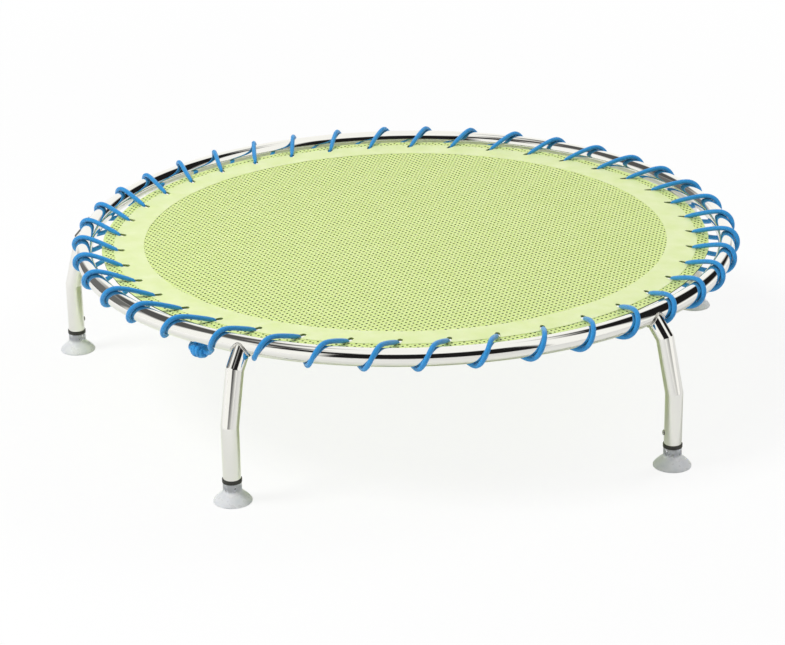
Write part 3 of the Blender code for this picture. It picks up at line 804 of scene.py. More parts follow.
def turned_mesh(profile, sides):
    """Turn a profile of radius and height about Z."""
    mesh = bpy.data.meshes.new("turned")
    with edited(mesh) as shape:
        spots = [shape.verts.new((r, 0.0, z)) for r, z in profile]
        for first, second in zip(spots, spots[1:]):
            shape.edges.new((first, second))
        geom = [*shape.verts, *shape.edges]
        axis = {"cent": (0.0, 0.0, 0.0), "axis": (0.0, 0.0, 1.0)}
        bmesh.ops.spin(shape, geom=geom, angle=TAU, steps=sides, use_merge=True, **axis)
        bmesh.ops.remove_doubles(shape, verts=shape.verts, dist=MERGE / 2)
        bmesh.ops.recalc_face_normals(shape, faces=shape.faces)
    return mesh


def leg_line(sizes):
    """Return the leg's centre line at +X: seat on the ring, two mitre joints, lower end."""
    seat = Vector((sizes.ring_radius, 0.0, RING_LEVEL))
    upper = seat + Vector((sizes.stub_out, 0.0, -sizes.stub_drop))
    lower = upper + Vector((sizes.slope_out, 0.0, -sizes.slope_drop))
    return [seat, upper, lower, Vector((lower.x, 0.0, FLOOR + sizes.end_height))]


def leg_mesh(sizes, line, steel):
    """Return the outside of one leg: straight runs of tube, cut and joined at an angle."""
    joints = []
    for before, joint, after in zip(line, line[1:], line[2:]):
        joints.append((joint, (joint - before).normalized(), (after - joint).normalized()))
    points = [line[0]]
    for joint, incoming, outgoing in joints:
        points += [joint - incoming * sizes.joint_round, joint, joint + outgoing * sizes.joint_round]
    points.append(line[-1])
    mesh = tube_mesh(points, sizes.leg_tube / 2, sizes.tube_sides, steel)
    for joint, incoming, outgoing in joints:
        cut = (incoming + outgoing).normalized()
        inward = (outgoing - incoming).normalized()
        widening = 1.0 / math.cos(incoming.angle(outgoing) / 2) - 1.0
        for vertex in mesh.vertices:
            offset = vertex.co - joint
            if abs(offset.dot(cut)) < MERGE:
                vertex.co += inward * offset.dot(inward) * widening
                continue
            for run, side in ((incoming, -1), (outgoing, 1)):
                across = offset - run * side * sizes.joint_round
                if abs(across.dot(run)) < MERGE and offset.length < sizes.leg_tube:
                    vertex.co -= run * across.dot(cut) / run.dot(cut)
    return mesh


def slide_to_ring(start, direction, distance, seat):
    """Slide a point along a direction until it lies that far from the ring's centre line."""
    near, far = 0.0, 3.0 * distance
    for _ in range(40):
        middle = (near + far) / 2
        spot = start + direction * middle
        if math.hypot(math.hypot(spot.x, spot.y) - seat.x, spot.z - seat.z) < distance:
            near = middle
        else:
            far = middle
    return start + direction * far


def hole_angle(mat, number):
    """Return where a lacing hole lies; holes count clockwise seen from above."""
    return LEG_TURNS[1] + mat.hole_lag - number * 360.0 / mat.holes


class TRAMPOLINE_OT_ring(bpy.types.Operator):
    """Bend the polished ring tube"""

    bl_idname = "trampoline.ring"
    bl_label = "Ring tube"

    def execute(self, context):
        sizes = context.scene.trampoline_frame
        steel = find_material(polished_stainless, context.scene.trampoline_finishes)
        start = LEG_TURNS[1]
        points = [
            around(start + step * 360.0 / sizes.ring_steps, sizes.ring_radius, RING_LEVEL)
            for step in range(sizes.ring_steps)
        ]
        mesh = tube_mesh(points, sizes.ring_tube / 2, sizes.tube_sides, steel, closed=True)
        smooth_mesh(merge_mesh(mesh))
        finish_piece("ring_polished", mesh, steel, "frame", ["ring_tube"])
        return {"FINISHED"}


class TRAMPOLINE_OT_legs(bpy.types.Operator):
    """Join the five hollow mitred legs, cope them onto the ring and weld them"""

    bl_idname = "trampoline.legs"
    bl_label = "Legs and welds"

    def execute(self, context):
        sizes = context.scene.trampoline_frame
        finishes = context.scene.trampoline_finishes
        steel = find_material(polished_stainless, finishes)
        filler = find_material(welded_stainless, finishes)
        line = leg_line(sizes)
        seat = line[0]
        stub = (line[1] - seat).normalized()
        tube = put_object("leg", leg_mesh(sizes, line, steel))
        for vertex in tube.data.vertices:
            along = (vertex.co - seat).dot(stub)
            if along < sizes.wall / 3:
                start = vertex.co - stub * along
                vertex.co = slide_to_ring(start, stub, sizes.ring_tube / 2 + TOUCH, seat)
        add_wall(tube, sizes.wall, -1.0).use_even_offset = True
        settle(tube)
        smooth_mesh(merge_mesh(tube.data))
        weights = tube.modifiers.new("flat runs", "WEIGHTED_NORMAL")
        weights.keep_sharp = True
        settle(tube)
        bead = self.bead_mesh(sizes, seat, stub, filler)
        finish_on_legs("leg_tube", tube.data, steel, "leg")
        finish_on_legs("leg_weld", bead, filler)
        bpy.data.objects.remove(tube, do_unlink=True)
        return {"FINISHED"}

    def bead_mesh(self, sizes, seat, stub, filler):
        """Return the rippled bead in the corner between leg and ring."""
        across = Vector((0.0, 1.0, 0.0))
        upward = stub.cross(across).normalized()
        steps = 96
        off_leg = sizes.leg_tube / 2 + sizes.weld * 0.25
        off_ring = sizes.ring_tube / 2 + sizes.weld * 0.45
        points = []
        for step in range(steps):
            turn = TAU * step / steps
            side = across * math.sin(turn) + upward * math.cos(turn)
            points.append(slide_to_ring(seat + side * off_leg, stub, off_ring, seat))
        run = sum((b - a).length for a, b in zip(points, points[1:] + points[:1]))
        shape = {"Ripple": 0.07, "Ripple Length": run / round(run / sizes.ripple)}
        mesh = tube_mesh(points, sizes.weld, 12, filler, closed=True, **shape)
        return smooth_mesh(merge_mesh(mesh))


class TRAMPOLINE_OT_plugs(bpy.types.Operator):
    """Mould the five plugs that close the legs"""

    bl_idname = "trampoline.plugs"
    bl_label = "Foot plugs"

    def execute(self, context):
        feet = context.scene.trampoline_feet
        frame_sizes = context.scene.trampoline_frame
        plastic = find_material(moulded_polyethylene, context.scene.trampoline_finishes)
        end = FLOOR + frame_sizes.end_height
        bore = feet.stud_shank / 2 + 3 * TOUCH
        body = feet.plug_body / 2
        flange = feet.flange / 2
        profile = [
            (0.0, PLUG_BOX[1].z),
            (body, PLUG_BOX[1].z),
            (body, end - TOUCH),
            (flange, end - TOUCH),
            (flange, end - feet.flange_thickness),
            (bore, end - feet.flange_thickness),
            (bore, STUD_BOX[1].z + 3 * TOUCH),
            (0.0, STUD_BOX[1].z + 3 * TOUCH),
        ]
        mesh = smooth_mesh(turned_mesh(rounded(profile, 0.0009), 64))
        mesh.transform(Matrix.Translation((foot_reach(), 0.0, 0.0)))
        finish_on_legs("foot_plug", mesh, plastic, "leg_plug")
        return {"FINISHED"}


class TRAMPOLINE_OT_screws(bpy.types.Operator):
    """Drive the five domed screws that hold the plugs"""

    bl_idname = "trampoline.screws"
    bl_label = "Plug screws"

    def execute(self, context):
        feet = context.scene.trampoline_feet
        tube = context.scene.trampoline_frame.leg_tube
        steel = find_material(turned_stainless, context.scene.trampoline_finishes)
        head = feet.screw_head / 2
        shank = feet.screw_shank / 2
        dome = head * 0.62
        recess = dome * 0.55
        edge = 0.0004
        arch = 78.0
        steps = 8
        profile = [(0.0, recess), (head * 0.16, recess), (head * 0.22, dome * 0.98)]
        for step in range(1, steps + 1):
            turn = math.radians(arch - step * arch / steps)
            profile.append((head * math.cos(turn), edge + (dome - edge) * math.sin(turn)))
        profile += [(head, 0.0), (shank, 0.0), (shank, -0.0055), (0.0, -0.0062)]
        mesh = smooth_mesh(turned_mesh(profile, 32))
        height = (SCREW_BOX[0].z + SCREW_BOX[1].z) / 2
        facing = Matrix.Rotation(math.radians(feet.screw_turn), 4, "Z")
        seat = Matrix.Translation((foot_reach(), 0.0, height)) @ facing
        tipped = Matrix.Rotation(math.pi / 2, 4, "Y")
        mesh.transform(seat @ Matrix.Translation((tube / 2 + TOUCH, 0.0, 0.0)) @ tipped)
        finish_on_legs("foot_screw", mesh, steel, "plug_screw")
        return {"FINISHED"}


class TRAMPOLINE_OT_studs(bpy.types.Operator):
    """Turn the five hexagon-headed studs that carry the cups"""

    bl_idname = "trampoline.studs"
    bl_label = "Cup studs"

    def execute(self, context):
        feet = context.scene.trampoline_feet
        steel = find_material(turned_stainless, context.scene.trampoline_finishes)
        high = cup_top(context.scene.trampoline_frame, feet) - feet.cup_lip - TOUCH
        mesh = self.head_mesh(feet, high - feet.stud_thickness)
        with edited(mesh) as shape:
            shape.from_mesh(self.thread_mesh(feet, high + TOUCH))
        smooth_mesh(mesh, 30.0)
        mesh.transform(Matrix.Translation((foot_reach(), 0.0, 0.0)))
        finish_on_legs("stud_hexagon", mesh, steel, "cup_stud", "cup_{}")
        return {"FINISHED"}

    def head_mesh(self, feet, low):
        """Return the hexagon with both its faces chamfered."""
        high = low + feet.stud_thickness
        flat = feet.stud_flats / 2
        corner = flat / math.cos(math.pi / 6)
        worn = 0.97 * flat
        chamfer = 0.0006
        sides = 36
        levels = ((low, worn), (low + chamfer, corner), (high - chamfer, corner), (high, worn))
        mesh = bpy.data.meshes.new("stud")
        with edited(mesh) as shape:
            rings = []
            for height, limit in levels:
                ring = []
                for step in range(sides):
                    angle = TAU * step / sides
                    side = (angle + math.pi / 6) % (math.pi / 3) - math.pi / 6
                    reach = min(flat / math.cos(side), limit)
                    spot = (reach * math.cos(angle), reach * math.sin(angle), height)
                    ring.append(shape.verts.new(spot))
                rings.append(ring)
            for lower, upper in zip(rings, rings[1:]):
                for step in range(sides):
                    after = (step + 1) % sides
                    shape.faces.new((lower[step], lower[after], upper[after], upper[step]))
            shape.faces.new(rings[-1])
            shape.faces.new(rings[0][::-1])
            bmesh.ops.recalc_face_normals(shape, faces=shape.faces)
        return mesh

    def thread_mesh(self, feet, low):
        """Return the threaded shank, its crests as close rings."""
        high = STUD_BOX[1].z
        root = feet.stud_shank / 2 - 0.6 * feet.thread_pitch
        profile = [(0.0, low), (root, low)]
        count = int((high - low) / feet.thread_pitch)
        for turn in range(count):
            height = low + (turn + 0.25) * feet.thread_pitch
            profile += [(root, height), (feet.stud_shank / 2, height + 0.4 * feet.thread_pitch)]
        profile += [(root, high), (0.0, high)]
        return turned_mesh(profile, 32)


class TRAMPOLINE_OT_cups(bpy.types.Operator):
    """Mould the five suction cups"""

    bl_idname = "trampoline.cups"
    bl_label = "Suction cups"

    def execute(self, context):
        feet = context.scene.trampoline_feet
        finishes = context.scene.trampoline_finishes
        rubber = find_material(moulded_soft_pvc, finishes)
        top = cup_top(context.scene.trampoline_frame, feet)
        mesh = smooth_mesh(turned_mesh(self.cup_profile(feet, top), 96), 50.0)
        mesh.transform(Matrix.Translation((foot_reach(), 0.0, 0.0)))
        finish_on_legs("suction_bell", mesh, rubber, "suction_cup", "cup_{}")
        return {"FINISHED"}

    def cup_profile(self, feet, top):
        """Return the bell's section: stud pocket, neck, flare, rim and suction hollow."""
        rim = (CUP_BOX[1].x - CUP_BOX[0].x) / 2
        neck = feet.cup_neck / 2
        shoulder = top - feet.cup_neck_height
        pocket = feet.stud_flats / 2 / math.cos(math.pi / 6) + TOUCH
        pocket_top = top - feet.cup_lip
        pocket_floor = pocket_top - feet.stud_thickness - 2 * TOUCH
        mouth = feet.stud_shank / 2 + TOUCH
        fillet = 0.0024
        edge = 0.0016
        cone = 0.58
        inner = [
            (0.0, pocket_floor),
            (pocket, pocket_floor),
            (pocket, pocket_top),
            (mouth, pocket_top),
            (mouth, top),
            (neck, top),
            (neck, shoulder + fillet),
        ]
        profile = rounded(inner, 0.0006)[:-1]
        flare = 28
        for step in range(flare + 1):
            share = step / flare
            swell = cone * share + (1.0 - cone) * math.sin(share * math.pi / 2) ** 1.2
            height = shoulder - (shoulder - FLOOR - edge) * share
            settle_in = fillet * max(0.0, 1.0 - share * 9.0) ** 2
            profile.append((neck + (rim - neck) * swell, height + settle_in))
        lip = [(rim, FLOOR + edge), (rim, FLOOR), (rim - feet.cup_rim, FLOOR)]
        profile += rounded(lip, 0.0009)[1:]
        hollow = rim - feet.cup_rim
        for step in range(1, 16):
            turn = math.radians(step * 90.0 / 16)
            profile.append((hollow * math.cos(turn), FLOOR + feet.cup_hollow * math.sin(turn)))
        profile.append((0.0, FLOOR + feet.cup_hollow))
        return profile


def lattice_spot(mat, cell):
    """Return the middle of a lattice cell on the mat."""
    middle = Vector((cell[0] + 0.5, cell[1] + 0.5)) * mat.pitch
    return Matrix.Rotation(math.radians(mat.turn), 2) @ middle


def mesh_cells(mat):
    """Return the whole lattice cells that are open, and single openings near an edge.

    The field inside the tape and the strip outside it are open.
    """
    field = mat.tape_outer - mat.tape_width + 0.3 * mat.pitch
    strip = mat.tape_outer - 0.25 * mat.pitch
    margin = 0.0008
    apart = 0.0005
    edge = mat.radius - mat.scallop - margin
    corner = mat.pitch / math.sqrt(2.0)
    reach = int(mat.radius / mat.pitch) + 1
    cells = set()
    singles = set()
    for cell in [(i, j) for i in range(-reach, reach) for j in range(-reach, reach)]:
        spot = lattice_spot(mat, cell)
        gap = hole_gap(mat, spot)
        if spot.length < field:
            cells.add(cell)
        elif spot.length > strip and spot.length + corner < edge and gap > corner + apart:
            cells.add(cell)
        elif strip < spot.length < edge - mat.opening / 2 and gap > mat.opening / 2 + margin:
            singles.add(cell)
    return cells, singles


def opening_outline(mat):
    """Return the six corners of an opening round its middle, in the lattice's directions."""
    radius = mat.opening / 2
    return [Vector((math.cos(TAU * k / 6), math.sin(TAU * k / 6))) * radius for k in range(6)]


def edge_radius(mat, angle):
    """Return the mat's radius, drawn in a little between the lacing holes."""
    phase = math.radians((angle - hole_angle(mat, 0)) * mat.holes)
    return mat.radius - mat.scallop * (1.0 - math.cos(phase)) / 2


def slit_shape(mat, grow=0.0):
    """Return a lacing hole's two end radii, and how far apart their middles lie."""
    wide = mat.hole / 2
    tip = mat.slit_tip / 2
    return wide + grow, tip + grow, mat.slit - wide - tip


def hole_outline(mat, number, grow=0.0, steps=16):
    """Return the outline of one lacing hole, wide at the cord and narrow at its inner end."""
    angle = hole_angle(mat, number)
    lean = math.radians(mat.slit_lean)
    outward = Matrix.Rotation(-lean, 2) @ around(angle, 1.0, 0.0).xy
    centre = around(angle, mat.radius - mat.hole_inset, 0.0).xy
    wide, tip, apart = slit_shape(mat, grow)
    spread = math.pi - math.acos((wide - tip) / apart)
    facing = math.radians(angle) - lean
    points = []
    for step in range(steps + 1):
        turn = facing - spread + 2 * spread * step / steps
        points.append(centre + Vector((math.cos(turn), math.sin(turn))) * wide)
    tip_steps = 6
    for step in range(tip_steps + 1):
        turn = facing + spread + 2 * (math.pi - spread) * step / tip_steps
        points.append(centre - outward * apart + Vector((math.cos(turn), math.sin(turn))) * tip)
    return points


def nearest_hole(mat, angle):
    """Return the number of the lacing hole that lies nearest to an angle."""
    return round((hole_angle(mat, 0) - angle) * mat.holes / 360.0)


def hole_gap(mat, spot):
    """Return a point's distance from the nearest lacing hole's edge, negative in the hole."""
    angle = math.degrees(math.atan2(spot[1], spot[0]))
    nearest = hole_angle(mat, nearest_hole(mat, angle))
    away = Vector((spot[0], spot[1])) - around(nearest, mat.radius - mat.hole_inset, 0.0).xy
    local = Matrix.Rotation(math.radians(mat.slit_lean - nearest), 2) @ away
    aside = abs(local.y)
    inward = -local.x
    wide, tip, apart = slit_shape(mat)
    slope = (wide - tip) / apart
    level = math.sqrt(1.0 - slope * slope)
    along = inward * level - aside * slope
    if along < 0.0:
        return math.hypot(aside, inward) - wide
    if along > level * apart:
        return math.hypot(aside, inward - apart) - tip
    return aside * level + inward * slope - wide


class Outline:
    """Points and edges of a flat sheet, gathered for one triangulation."""

    def __init__(self):
        self.points = []
        self.edges = []
        self.places = {}

    def add_point(self, point):
        """Add a point once and return its number."""
        key = (round(point[0] / MERGE), round(point[1] / MERGE))
        if key not in self.places:
            self.places[key] = len(self.points)
            self.points.append(Vector(point[:2]))
        return self.places[key]

    def add_line(self, points, closed=False):
        """Add the edges along a line of points."""
        ends = [self.add_point(point) for point in points]
        pairs = list(zip(ends, ends[1:]))
        if closed:
            pairs.append((ends[-1], ends[0]))
        self.edges += [pair for pair in pairs if pair[0] != pair[1]]

    def triangles(self, keep):
        """Return the triangulated sheet, of the faces whose middles are kept."""
        points, _, faces, *_ = delaunay_2d_cdt(self.points, self.edges, [], 0, MERGE / 4)
        kept = []
        for face in faces:
            middle = sum((points[k] for k in face), Vector((0.0, 0.0))) / len(face)
            if keep(middle):
                kept.append(face)
        return points, kept


class TRAMPOLINE_OT_mat(bpy.types.Operator):
    """Cut the round mesh mat, with its openings, lacing holes and drawn edge"""

    bl_idname = "trampoline.mat"
    bl_label = "Mesh mat"

    # column of the lattice at which the sheet is divided, so that each piece stays light
    split = 4

    def execute(self, context):
        mat = context.scene.trampoline_mat
        finishes = context.scene.trampoline_finishes
        skin = find_material(pvc_coated_mesh, finishes, mat)
        side = find_material(pvc_mesh_edge, finishes)
        cells, singles = mesh_cells(mat)
        cell = put_object("cell", self.cell_mesh(mat))
        for number, part in enumerate((1, -1), 1):
            mine = {c for c in cells if (c[0] >= self.split) == (part > 0)}
            mesh = self.open_cells(mat, mine, cell, skin)
            self.add_filling(mat, mesh, mine, singles, part)
            obj = put_object(f"mat_weave_{number}", merge_mesh(mesh, turn_out=False))
            mesh.materials.clear()
            mesh.materials.append(skin)
            mesh.materials.append(side)
            # the walls of the openings and the cut edge take the edge colour, darkened as painted
            # shade
            add_wall(obj, mat.thickness, -1.0).material_offset_rim = 1
            settle(obj)
            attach(obj, "mat")
            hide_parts("mat_mesh")
            shift = self.split * mat.pitch
            across = mat.radius
            area = across**2 * math.acos(part * shift / across)
            area -= part * shift * math.sqrt(across**2 - shift**2)
        bpy.data.objects.remove(cell, do_unlink=True)
        return {"FINISHED"}

    def cell_mesh(self, mat):
        """Return one square cell of mesh with a six-sided opening."""
        half = mat.pitch / 2
        corners = [(-half, -half), (half, -half), (half, half), (-half, half)]
        points = [(x, y, 0.0) for x, y in corners + opening_outline(mat)]
        faces = [(1, 2, 4), (2, 5, 4), (2, 3, 6, 5), (3, 7, 6)]
        faces += [(3, 0, 7), (0, 8, 7), (0, 1, 9, 8), (1, 4, 9)]
        mesh = bpy.data.meshes.new("cell")
        mesh.from_pydata(points, [], faces)
        return mesh

    def open_cells(self, mat, cells, cell, skin):
        """Return the open part of the mesh, one cell on each lattice point."""
        turn = Matrix.Rotation(math.radians(mat.turn), 4, "Z")
        mesh = bpy.data.meshes.new("lattice")
        middles = [Vector((i + 0.5, j + 0.5, 0.0)) * mat.pitch for i, j in sorted(cells)]
        mesh.from_pydata([tuple(turn @ middle) for middle in middles], [], [])
        values = {"Cell": cell, "Turn": math.radians(mat.turn), "Material": skin}
        return run_tree(put_object("lattice", mesh), lattice_tree(), values)

    def add_filling(self, mat, mesh, cells, singles, part):
        """Fill the mesh round its open cells, out to the edge and the lacing holes."""
        turn = Matrix.Rotation(math.radians(mat.turn), 2)
        back = turn.transposed()
        outline = Outline()
        sides = ((0, 0, 1, 0, 0, -1), (1, 0, 1, 1, 1, 0), (1, 1, 0, 1, 0, 1), (0, 1, 0, 0, -1, 0))
        for i, j in cells:
            for x0, y0, x1, y1, di, dj in sides:
                if (i + di, j + dj) not in cells:
                    ends = [Vector((i + x0, j + y0)), Vector((i + x1, j + y1))]
                    outline.add_line([turn @ (end * mat.pitch) for end in ends])
        steps = 12 * mat.holes
        shift = self.split * mat.pitch
        rim = []
        for step in range(steps):
            angle = hole_angle(mat, 0) + step * 360.0 / steps
            rim.append(around(angle, edge_radius(mat, angle), 0.0).xy)
        crossings = []
        chain = []
        for first, second in zip(rim, rim[1:] + rim[:1]):
            a, b = (back @ first).x - shift, (back @ second).x - shift
            if a * part >= 0:
                chain.append(first)
            if a * b < 0:
                crossing = first.lerp(second, a / (a - b))
                crossings.append(crossing)
                chain.append(crossing)
        outline.add_line(chain + chain[:1])
        low, high = sorted((back @ crossing).y for crossing in crossings)
        joints = range(int(low / mat.pitch), int(high / mat.pitch) + 1)
        seam = [low] + [j * mat.pitch for j in joints if low < j * mat.pitch < high] + [high]
        outline.add_line([turn @ Vector((shift, y)) for y in seam])
        for number in range(mat.holes):
            slit = hole_outline(mat, number)
            if ((back @ slit[0]).x - shift) * part > 0:
                outline.add_line(slit, closed=True)
        for cell in singles:
            middle = lattice_spot(mat, cell)
            if (cell[0] >= self.split) == (part > 0):
                corners = [middle + turn @ corner for corner in opening_outline(mat)]
                outline.add_line(corners, closed=True)
        opening_reach = mat.opening / 2 * math.cos(math.pi / 6)

        def in_filling(spot):
            local = back @ spot
            cell = (math.floor(local.x / mat.pitch), math.floor(local.y / mat.pitch))
            angle = math.degrees(math.atan2(spot.y, spot.x))
            if cell in singles and (lattice_spot(mat, cell) - spot).length < opening_reach:
                return False
            return (
                (local.x - shift) * part > 0
                and spot.length < edge_radius(mat, angle)
                and cell not in cells
                and hole_gap(mat, spot) > -MERGE * 10
            )

        points, faces = outline.triangles(in_filling)
        with edited(mesh) as shape:
            spots = [shape.verts.new((*point, 0.0)) for point in points]
            for face in faces:
                made = shape.faces.new([spots[k] for k in face])
                made.normal_update()
                if made.normal.z < 0:
                    made.normal_flip()
            drop_loose(shape, spots)


class TRAMPOLINE_OT_tape(bpy.types.Operator):
    """Weld the smooth tape over the mesh, creased where the cord pulls"""

    bl_idname = "trampoline.tape"
    bl_label = "Mat tape"

    def execute(self, context):
        mat = context.scene.trampoline_mat
        finishes = context.scene.trampoline_finishes
        skin = find_material(pvc_welded_tape, finishes, mat)
        outer = mat.tape_outer
        inner = outer - mat.tape_width
        outline = Outline()
        steps = 24 * mat.holes
        rows = 13
        fringe = 0.0011
        at_hole = 0.0005
        for row in range(rows + 1):
            radius = inner + (outer - inner) * row / rows
            circle = [around(360.0 * k / steps, radius, 0.0).xy for k in range(steps)]
            if row in (0, rows):
                outline.add_line(circle, closed=True)
            else:
                for spot in circle:
                    if hole_gap(mat, spot) > 2 * fringe:
                        outline.add_point(spot)
        for number in range(mat.holes):
            outline.add_line(hole_outline(mat, number), closed=True)
            outline.add_line(hole_outline(mat, number, grow=fringe), closed=True)
        middle = inner * math.cos(math.pi / steps)
        points, faces = outline.triangles(
            lambda spot: spot.length > middle and hole_gap(mat, spot) > -MERGE * 10
        )
        mesh = bpy.data.meshes.new("mat_tape")
        gap = 2 * TOUCH / 5
        lifted = [(*point, gap + self.crease(mat, point)) for point in points]
        mesh.from_pydata(lifted, [], [tuple(face) for face in faces])
        merge_mesh(mesh, turn_out=False)
        with edited(mesh) as shape:
            for face in shape.faces:
                if face.normal.z < 0:
                    face.normal_flip()
            drop_loose(shape, shape.verts)
        obj = put_object("mat_tape", mesh)
        mesh.materials.append(skin)
        mesh.materials.append(find_material(pvc_mesh_edge, finishes))
        add_wall(obj, mat.tape_thickness, 1.0)
        settle(obj)
        # the sides of the lacing holes take the edge colour, darkened as painted shade
        for face in obj.data.polygons:
            if abs(face.normal.z) < 0.5 and hole_gap(mat, face.center) < at_hole:
                face.material_index = 1
        smooth_mesh(obj.data)
        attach(obj, "mat")
        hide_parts("mat_band")
        return {"FINISHED"}

    def crease(self, mat, point):
        """Return how far the tape lifts: a ridge inwards from each lacing hole."""
        angle = math.degrees(math.atan2(point[1], point[0]))
        number = nearest_hole(mat, angle)
        offset = math.radians(angle - hole_angle(mat, number))
        radius = math.hypot(point[0], point[1])
        aside = math.sin(offset) * radius
        inward = mat.radius - mat.hole_inset - radius
        reach = 0.024
        welded = 0.006
        drift = 0.0016 * math.sin(number * 2.4)
        width = 0.0045 + 0.25 * max(inward, 0.0)
        ridge = math.exp(-(((aside - drift) / width) ** 2) - (inward / reach) ** 2)
        edges = min(radius - (mat.tape_outer - mat.tape_width), mat.tape_outer - radius)
        held = min(1.0, max(0.0, edges / welded))
        return mat.crease * ridge * held


def arc(centre, radius, first, last, step):
    """Return points on an arc in the radius and height plane."""
    count = max(2, round(abs(math.radians(last - first)) * radius / step))
    angles = [math.radians(first + (last - first) * k / count) for k in range(count + 1)]
    return [(centre[0] + radius * math.cos(a), centre[1] + radius * math.sin(a)) for a in angles]


def hole_bend(mat, cord):
    """Return where a hole's outer rim lies, and the radius of the cord's bend round it."""
    rim = mat.radius - mat.hole_inset + mat.hole / 2
    return rim, cord.across / 2 * (1.0 - cord.pinch) + 4 * TOUCH


def wrap_section(sizes, mat, cord, side):
    """Return one wrap's section from its hole to the ring's outer side.

    Side 1 runs over the ring and side -1 under it. The stiff cord leaves the hole
    steeply, runs nearly straight and bends round the ring. Each point has a radius, a
    height and its share of the way to the next hole.
    """
    rim, bend = hole_bend(mat, cord)
    reach = sizes.ring_tube / 2 + cord.across / 2 + TOUCH
    face = 0.0 if side > 0 else mat.thickness + 2 * RING_LEVEL
    section = [(rim - bend, face - mat.thickness / 2)]
    section += arc((rim, face), bend, 180.0, cord.dive, cord.step / 2)
    on_ring = arc((sizes.ring_radius, RING_LEVEL), reach, cord.lift, 0.0, cord.step)
    start, stop = Vector(section[-1]), Vector(on_ring[0])
    span = (stop - start).length
    steep, flat = [
        Vector((math.sin(math.radians(angle)), -math.cos(math.radians(angle))))
        for angle in (cord.dive, cord.lift)
    ]
    handles = (start + steep * span * cord.stiffness, stop - flat * span * cord.stiffness)
    count = round(span / cord.step)
    for step in range(1, count):
        t = step / count
        spot = start * (1 - t) ** 3 + stop * t**3
        spot += handles[0] * 3 * t * (1 - t) ** 2 + handles[1] * 3 * t * t * (1 - t)
        section.append(tuple(spot))
    section += on_ring
    runs = [0.0]
    for before, after in zip(section, section[1:]):
        runs.append(runs[-1] + math.dist(before, after))
    shares = [run / runs[-1] / 2 for run in runs]
    if side > 0:
        return [(r, z, share) for (r, z), share in zip(section, shares)]
    return [(r, 2 * RING_LEVEL - z, 1.0 - share) for (r, z), share in zip(section, shares)]


def smooth_line(points, steps):
    """Read a smooth curve through points, leaving out its first and last run."""
    line = []
    for a, b, c, d in zip(points, points[1:], points[2:], points[3:]):
        for step in range(steps):
            t = step / steps
            bow = (2 * a - 5 * b + 4 * c - d) * t * t
            twist = (3 * b - a - 3 * c + d) * t * t * t
            line.append((2 * b + (c - a) * t + bow + twist) / 2)
    line.append(points[-2])
    return line


def cord_mesh(line, cord, braid, **shape):
    """Return a stretch of cord with closed ends; shape may name more of the tube's inputs."""
    mesh = tube_mesh(line, cord.across / 2, cord.sides, braid, **shape)
    return smooth_mesh(merge_mesh(mesh, close_ends=True), 60.0)


def knot_frame(sizes, mat, cord):
    """Return the knot's middle and its axis, under the ring just past the last wrap."""
    angle = hole_angle(mat, 0) - cord.knot_lead
    height = RING_BOX[0].z - cord.knot_across / 2 - 6 * TOUCH
    turn = math.radians(angle)
    middle = around(angle, sizes.ring_radius, height)
    return middle, Vector((-math.sin(turn), math.cos(turn), 0.0))


